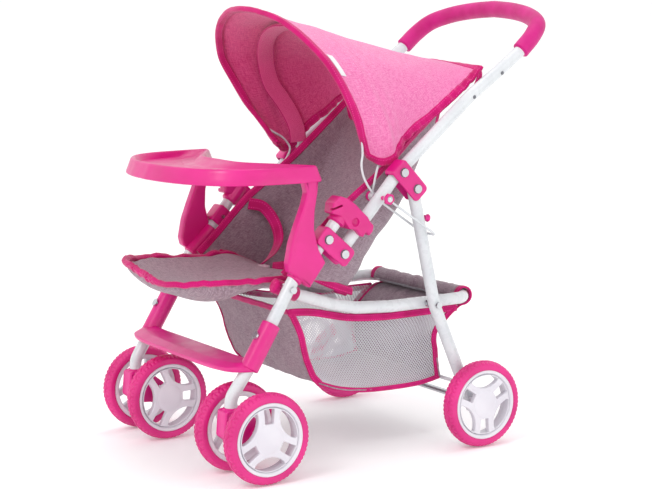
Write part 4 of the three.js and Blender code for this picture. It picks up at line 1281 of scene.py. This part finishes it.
def make_canopy(m):
    cloth = canopy_cloth()
    # The sheet's back takes the darker inside colour: painted shade and painted light through the cloth
    pair = [m["canopy"], m["lining"]]
    sheet = put("canopy_sheet", cloth.shell(1.3), pair, None, ["canopy"], 180)
    trim = Shape()
    cloth.band(trim, edge_path((0, 0), (0, 1), 150, 0.017), 11, 7.4, lift=-1.4, wave=0.5, seed=1.5)
    for u, seed in ((0.0, 4.2), (1.0, 7.7)):
        inward = 0.008 if u == 0 else -0.008
        cloth.band(trim, edge_path((0.0, u), (1.0, u), 120, 0, inward), 11.5, 5.2, wave=1.6, seed=seed)
    cloth.band(trim, edge_path((1, 0.0), (1, 1.0), 70, -0.012), 9.5, 4.0, wave=0.7, seed=11.0)
    put("canopy_binding", trim, m["tape"], None, sharp=180)
    hoop = [vec(*p) for p in MID_HOOP]
    ends = [vec(*p) for p in (MID_LEFT_FOOT[-2], MID_LEFT_FOOT[-1], *reversed(MID_RIGHT_FOOT[-4:]))]
    over = spaced(curve_through([*ends[:2], *hoop, *mirror(hoop)[1:], *ends[2:]], 6), 110)
    outward = [Vector((p.x, 0.26 * math.hypot(p.x, p.z - 440), p.z - 440)).normalized() for p in over]
    runs = [(b - a).normalized() for a, b in zip([over[0], *over[:-1]], [*over[1:], over[-1]])]
    # The bow sleeve sits on the inside and takes the same darker colour: painted shade
    sleeve = Shape().sweep(over, oval(23, 6, 24), outward, taper=1)
    put("canopy_bow_sleeve", sleeve, m["lining"], "mid_bow", sharp=180)
    seam = Shape()
    for edge in (-1, 1):
        line = [p + run.cross(n).normalized() * 11 * edge - n for p, n, run in zip(over, outward, runs)]
        seam.sweep(line, oval(1.8, 1.6, 8), outward, taper=0.4)
    put("canopy_sleeve_seams", seam, m["tape"], "mid_bow", sharp=180)
    tag_rows = [
        [cloth.at(0.045 + 0.04 * j / 3, 0.205 + 0.05 * k / 8, 1.4) for k in range(9)] for j in range(4)
    ]
    tag = Cloth(tag_rows).shell(0.6, slots=(0, 0))
    put("canopy_tag", tag, m["white"], None, sharp=60)
    for name in ("canopy_sheet", "canopy_binding", "canopy_tag"):
        canopy_blend(bpy.data.objects[name])
    for side, label in SIDES:
        line = [vec(side * x, y, z) for x, y, z in CANOPY_STRAP]
        loops = Shape().sweep(
            spaced(curve_through(line, 8), 20), oval(8, 2, 12), [(-side, 0, 0)] * 20, taper=0.5,
        )
        put(f"canopy_loops_{label}", loops, m["tape"], "handle_frame", sharp=180)
    return sheet


BACK_PANEL = ((-35, 215), (-18, 236), (5, 277), (36, 312), (67, 365), (102, 422))
BACK_WING = ((-141, 248), (-120, 266), (-98, 287), (-66, 317), (-24, 347), (19, 378), (104, 448))
BACK_ROWS = 41
BACK_COLUMNS = 81


def back_cloth():
    panel = evenly([(0, y, z) for y, z in BACK_PANEL], BACK_ROWS)
    wing = evenly([(0, y, z) for y, z in BACK_WING], BACK_ROWS)
    rows = []
    for i in range(BACK_ROWS):
        v = i / (BACK_ROWS - 1)
        (_, y, z), (_, wing_y, wing_z) = panel[i], wing[i]
        half = []
        for x, up in (
            (0, 0), (40, 0), (80, 0), (95, 0.02), (102, 0.12), (105, 0.3), (107, 0.55), (110, 0.82),
            (113.5, 1),
        ):
            dip = -8 * math.sin(math.pi * up) * max(0, 1 - v * 9)
            half.append(vec(x, y + (wing_y - y) * up, z + (wing_z - z) * up + dip))
        half = curve_through(half, 6)
        rows.append(spaced(mirror(half) + half[1:], BACK_COLUMNS))
    cloth = Cloth(rows, flip=True)
    big, fine = ripples(4.0, 1.9), ripples(12.0, 5.5)

    def relief(v, u):
        side = abs(u - 0.5) * 2
        belly = 6 * math.sin(math.pi * min(1, max(0, (1 - side) * 1.6)) / 2) * math.sin(math.pi * v)
        folds = 3.0 * math.sin((v * 3.4 + side * 1.8) * math.pi) * max(0, side - 0.4)
        crease = 2.6 * math.exp(-(((v - 0.13 - 0.12 * side) / 0.03) ** 2)) * (1 - side)
        border = min(1.0, v * 12) * min(1.0, (1 - v) * 12) * min(1.0, (1 - side) * 14)
        return (folds + crease - belly + 2.0 * big(v, u) + 0.7 * fine(v, u)) * border

    return cloth.push(relief)


def make_seat_back(m):
    cloth = back_cloth()
    sheet = put(
        "seat_back_sheet", cloth.shell(2.2), [m["grey"], m["grey"]], "handle_frame",
        ["seat_back"], 180,
    )
    trim = Shape()
    for u, inward in ((0, 0.008), (1, -0.008)):
        cloth.band(trim, edge_path((0, u), (1, u), 70, 0, inward), 10, 4.0, lift=0.4, wave=0.5, seed=2 + u)
    cloth.band(trim, edge_path((1, 0), (1, 1), 80, -0.012), 8, 3.6, wave=0.4, seed=6.0)
    binding = put("seat_back_binding", trim, m["tape"], "handle_frame", sharp=180)
    for piece in (sheet, binding):
        flatten_to_handle(piece)
    return sheet


def flatten_to_handle(piece):
    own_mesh(piece)


# y, edge height, half width, sag in the middle, lift of the far side over the near one
SEAT_RIBS = ((-40, 213, 104, 2, 0), (-58, 222, 104, 6, 0), (-84, 235, 104, 9, 0), (-109, 244, 104, 10, 1),
             (-135, 243.5, 104, 12, 3), (-165, 243.5, 104, 14, 5), (-202, 243.5, 103, 15, 8),
             (-232, 245, 97, 14, 10),
             (-256, 246.5, 84, 11, 14), (-271, 247.5, 66, 6, 16), (-278, 248, 46, 2, 14))
SEAT_FLAP = ((104, -112, 245), (106, -95, 240), (106.5, -70, 228.5), (106, -48, 219.5), (105, -32, 214))
SEAT_ROWS = 44
SEAT_COLUMNS = 41


def seat_cloth():
    ribs = evenly([(y, z, half) for y, z, half, _, _ in SEAT_RIBS], SEAT_ROWS)
    extra = evenly([(y, sag, lift) for y, _, _, sag, lift in SEAT_RIBS], SEAT_ROWS)
    rows = []
    for i, ((y, z, half), (_, sag, lift)) in enumerate(zip(ribs, extra)):
        row = []
        for k in range(SEAT_COLUMNS):
            u = 2 * k / (SEAT_COLUMNS - 1) - 1
            drift = 2.2 * math.sin((y + 120) * 0.045) * abs(u) ** 3
            row.append(vec(u * half, y, z - sag * (1 - abs(u) ** 2.2) - lift / 2 * u + drift))
        rows.append(row)
    return Cloth(rows)


def seat_pad_shape(cloth):
    """A closed pad under the seat's face: thin at the binding, fuller between, sagging under the flap."""
    rows, columns = cloth.points.shape[:2]
    top, under = [], []
    for i in range(rows):
        v = i / (rows - 1)
        for k in range(columns):
            u = k / (columns - 1)
            rim = max(0.0, min(1.0, 4 * v * (1 - v) * 4, 4 * u * (1 - u) * 3))
            crown = rim**0.5
            p, n = Vector(cloth.points[i, k]), Vector(cloth.normals[i, k])
            n = n if n.z > 0 else -n
            sag = 5 + 10 * math.exp(-(((p.y + 214) / 30) ** 2))
            top.append(p + n * (0.8 + 1.6 * crown))
            under.append(p - n * 1.2 - vec(0, 0, sag * crown))
    quads, ring = grid_faces(rows, columns)
    count = rows * columns
    sides = [[b, a, a + count, b + count] for a, b in zip(ring, ring[1:] + ring[:1])]
    return Shape().add(top + under, quads + [[i + count for i in reversed(q)] for q in quads] + sides)


def puff(piece, voxel, pressure, cap):
    """Inflates a pad as cloth, letting no point move further than cap millimetres."""
    remesh = piece.modifiers.new("remesh", "REMESH")
    remesh.mode = "VOXEL"
    remesh.voxel_size = voxel * MM
    bpy.context.view_layer.update()
    baked(piece)
    start = np.array([list(v.co) for v in piece.data.vertices])
    cloth = piece.modifiers.new("cloth", "CLOTH")
    cloth.settings.use_pressure = True
    cloth.settings.uniform_pressure_force = pressure
    cloth.settings.tension_stiffness = 25
    cloth.settings.compression_stiffness = 25
    cloth.settings.bending_stiffness = 1.2
    cloth.settings.effector_weights.gravity = 0
    cloth.point_cache.frame_start = 1
    cloth.point_cache.frame_end = 20
    for step in range(1, 21):
        bpy.context.scene.frame_set(step)
    baked(piece)
    bpy.context.scene.frame_set(1)
    end = np.array([list(v.co) for v in piece.data.vertices])
    move = end - start
    size = np.linalg.norm(move, axis=1, keepdims=True)
    move *= np.minimum(1, cap * MM / np.maximum(size, 1e-9))
    piece.data.vertices.foreach_set("co", (start + move).ravel())
    subdivide = piece.modifiers.new("smooth", "SUBSURF")
    subdivide.levels = 1
    bpy.context.view_layer.update()
    baked(piece)
    piece.data.shade_smooth()
    return piece


def seat_blend(piece):
    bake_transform(piece)


def make_seat_base(m):
    cloth = seat_cloth()
    pad = put("seat_base_pad", seat_pad_shape(cloth), m["grey_flat"], None, ["seat_base"], 180)
    puff(pad, 5, 4, 4)
    trim = Shape()
    route = edge_path((0, 0), (0.9, 0), 60, 0, 0.01) + edge_path(
        (0.93, 0.02), (0.985, 0.12), 6,
    ) + edge_path((0.99, 0.15), (0.99, 0.85), 44)
    route += edge_path((0.985, 0.88), (0.93, 0.98), 6) + edge_path((0.9, 0.99), (0, 0.99), 60)
    cloth.band(trim, route, 10.5, 7.6, lift=-0.4, wave=3.0, seed=3.0, sides=18)
    for side in (1, -1):
        flap = [vec(side * x, y, z) for x, y, z in SEAT_FLAP]
        trim.sweep(spaced(curve_through(flap, 8), 30), oval(11, 3.4, 14), [(side, 0, 0.35)] * 30, taper=0.8)
    binding = put("seat_base_binding", trim, m["tape"], None, sharp=180)
    for piece in (pad, binding):
        seat_blend(piece)
    return pad


def make_harness(m):
    route = ((105, -64, 309), (98, -46, 304), (88, -34, 284), (70, -38, 262), (42, -64, 247), (14, -96, 240))
    for side, label in SIDES:
        line = spaced(curve_through([vec(side * x, y, z) for x, y, z in route], 10), 48)
        facing = []
        for i, p in enumerate(line):
            s = i / 47
            facing.append(Vector((-side * (0.9 - 0.7 * s), -0.9, 0.15 + 0.35 * s)).normalized())
        strap = Shape().sweep(line, oval(16, 1.8, 14), facing, taper=0.5)
        piece = put(
            f"strap_{label}", strap, m["tape"], "handle_frame", [f"harness_strap_{label}"],
            180,
        )
        flatten_to_handle(piece)
    buckle = Shape().plate(
        [rounded(((-8, -108), (8, -108), (9.5, -102), (8, -96), (-8, -96), (-9.5, -102)), 2.5)], 236.5,
        240.5, 1.3, "XY",
    )
    buckle.plate([rounded(((-5, -112), (5, -112), (5, -106), (-5, -106)), 1.5)], 237, 240, 0.8, "XY")
    piece = put("buckle_round", buckle, m["white"], "handle_frame", ["harness_buckle"])
    flatten_to_handle(piece)


# ---------------------------------------------------------------- basket
BASKET_X = 103
FRONT_EDGE = ((-127, 198), (-110, 165), (-103, 138), (-91, 110), (-80, 98))
REAR_EDGE = ((152, 184), (128, 168), (105, 149), (105, 121), (110, 84))
NET_LOW = ((-80, 98), (-50, 87), (-10, 80), (40, 78), (80, 79), (110, 84))
NET_HIGH = ((-127, 198), (-95, 196), (-60, 188), (-30, 182), (21, 178), (80, 178), (138, 178))


def basket_surface(v, u, side):
    """The net side: v from the front edge to the rear one, u from the top down."""
    top, low, front, rear = NET_LINES
    t, b = top[v], low[v]
    f, r = front[u], rear[u]
    corner = (NET_HIGH[0], NET_HIGH[-1], NET_LOW[0], NET_LOW[-1])
    out = []
    for axis in (0, 1):
        ruled = (1 - u) * t[axis] + u * b[axis] + (1 - v) * f[axis] + v * r[axis]
        bilinear = (1 - u) * (
            (1 - v) * corner[0][axis] + v * corner[1][axis]
        ) + u * ((1 - v) * corner[2][axis] + v * corner[3][axis])
        out.append(ruled - bilinear)
    bulge = 3.5 * math.sin(math.pi * v) * math.sin(math.pi * u) - 4 * u
    return vec(side * (BASKET_X + bulge), out[0], out[1])


class Line2D:
    """A curve through (y, z) points that gives the point at a share of its length."""

    def __init__(self, points):
        self.points = spaced(curve_through([vec(0, y, z) for y, z in points], 10), 101)

    def __getitem__(self, share):
        a = min(max(share, 0), 1) * 100
        i = min(int(a), 99)
        p = self.points[i].lerp(self.points[i + 1], a - i)
        return p.y, p.z


NET_LINES = (Line2D(NET_HIGH), Line2D(NET_LOW), Line2D(FRONT_EDGE), Line2D((NET_HIGH[-1], *REAR_EDGE[2:])))
NET_PITCH = 4.3


def net_shape(side):
    """Threads in a diamond net."""
    columns, rows = int(232 / NET_PITCH) * 2, int(98 / NET_PITCH) * 2
    shape = Shape()
    grid = {}
    for i in range(columns + 1):
        for k in range(rows + 1):
            if (i + k) % 2 == 0:
                grid[(i, k)] = basket_surface(i / columns, k / rows, side)
    for (i, k), p in grid.items():
        for step in (1, -1):
            q = grid.get((i + step, k + 1))
            if q is not None:
                thread(shape, p, q, 0.58, side)
    return shape


def thread(shape, a, b, radius, side):
    run = (b - a).normalized()
    n = vec(side, 0, 0)
    n = (n - run * n.dot(run)).normalized()
    w = run.cross(n)
    ring = [n * radius, w * radius * 1.1, n * -radius, w * -radius * 1.1]
    shape.loft([[a + d for d in ring], [b + d for d in ring]], caps=False)


def basket_blend(piece):
    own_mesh(piece)


def band_of(shape, points, facing, width, thickness, count=40, wave=0.0, seed=0.0):
    line = spaced(curve_through(points, 8), count)
    moved = []
    for i, p in enumerate(line):
        ripple = noise.noise(Vector((i * 0.4 + seed, seed, 0.3))) * wave
        moved.append(p + Vector(facing) * ripple)
    return shape.sweep(moved, oval(width, thickness, 14), [facing] * count, taper=0.8)


def make_basket(m):
    pieces = []
    grey = [m["grey"], m["grey"]]
    front_line = [NET_LINES[2][t / 24] for t in range(25)]
    columns = 31
    wrinkle = ripples(4.0, 9.3)

    def panel(line, name, bow, seed):
        rows = []
        for j, (y, z) in enumerate(line):
            half = BASKET_X * (1 - 0.04 * j / len(line))
            rows.append([vec(half * (2 * k / (columns - 1) - 1), y, z) for k in range(columns)])
        cloth = Cloth(rows)
        fold = ripples(5.0, seed)

        def relief(v, u):
            inner = 4 * u * (1 - u)
            sag = bow * math.sin(math.pi * v) * inner
            crease = 3.0 * fold(v * 0.7, u * 1.6) * inner * min(1, v * 8)
            return sag + crease + 0.8 * wrinkle(v * 2, u * 3)

        cloth.push(relief)
        piece = put(name, cloth.shell(1.6), grey, "side_frame", sharp=180)
        return piece, cloth

    front, front_cloth = panel(front_line, "basket_front_panel", 4, 2.7)
    floor_line = [NET_LINES[1][t / 30] for t in range(31)]
    floor, _ = panel(floor_line, "basket_floor_panel", 3, 5.1)
    over = ((110, 84), (106, 104), (104, 128), (107, 147), (118, 161), (131, 171.5), (142, 178.5),
    (151, 179.8),
            (158, 184.5), (160, 191.5), (157, 198.5), (150.5, 202.3), (143, 201.6), (137.8, 196.5),
            (136.5, 189.5))
    rear_line = [(p.y, p.z) for p in spaced(curve_through([vec(0, y, z) for y, z in over], 8), 46)]
    rear, rear_cloth = panel(rear_line, "basket_rear_panel", -2, 7.9)
    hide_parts("basket")
    for side, label in SIDES:
        net = put(f"basket_net_{label}", net_shape(side), m["net"], "side_frame", sharp=180)
        trim = Shape()
        out = (side, 0, 0)

        def at(v, u, push=1.0):
            return basket_surface(v, u, side) + vec(side * push, 0, 0)

        band_of(trim, [at(v / 12, 0.03) for v in range(13)], out, 10, 2.4, 70, 0.5, 1 + side)
        band_of(trim, [at(0.012, u / 8) for u in range(9)], out, 9, 2.6, 40, 0.8, 3 + side)
        band_of(trim, [at(v / 12, 1.0) for v in range(13)], out, 6.5, 2.6, 60, 0.6, 5 + side)
        band_of(trim, [at(0.988, u / 8) for u in range(9)], out, 8, 2.6, 40, 0.8, 7 + side)
        edge = [vec(side * (BASKET_X - 2), y, z) for y, z in rear_line[18:]]
        trim.sweep(
            edge, oval(9, 3, 14),
            [rear_cloth.normal(j / (len(rear_line) - 1), 0.98 if side > 0 else 0.02) for j in range(18,
            len(rear_line))],
            taper=0.8,
        )
        binding = put(f"basket_binding_{label}", trim, m["tape"], "side_frame", sharp=180)
        pieces += [net, binding]
        line = in_plane(side * SIDE_X, ((-153, 234.2), (-150, 233), (-122, 220.6)))
        wrap = Shape().tube(line, TUBE_R + 1.6, 32, taper=2)
        put(f"side_tube_wrap_{label}", wrap, m["tape"], "side_frame", sharp=50)
    top = Shape()
    rail = [front_cloth.at(0.02, k / 40, 0.4) for k in range(41)]
    top.sweep(rail, oval(9, 3.2, 14), [front_cloth.normal(0.02, k / 40) for k in range(41)], taper=0.8)
    pieces.append(put("basket_front_binding", top, m["tape"], "side_frame", sharp=180))
    for piece in (front, floor, rear, *pieces):
        basket_blend(piece)


make_camera()
make_studio()
make_studio_floor()
materials = make_materials()
make_tubes(materials)
make_wheels(materials)
make_screws(materials)
make_brackets(materials)
make_footrest(materials)
make_casters(materials)
make_clips(materials)
make_tray(materials)
make_hardware(materials)
make_canopy(materials)
make_seat_back(materials)
make_seat_base(materials)
make_harness(materials)
make_basket(materials)
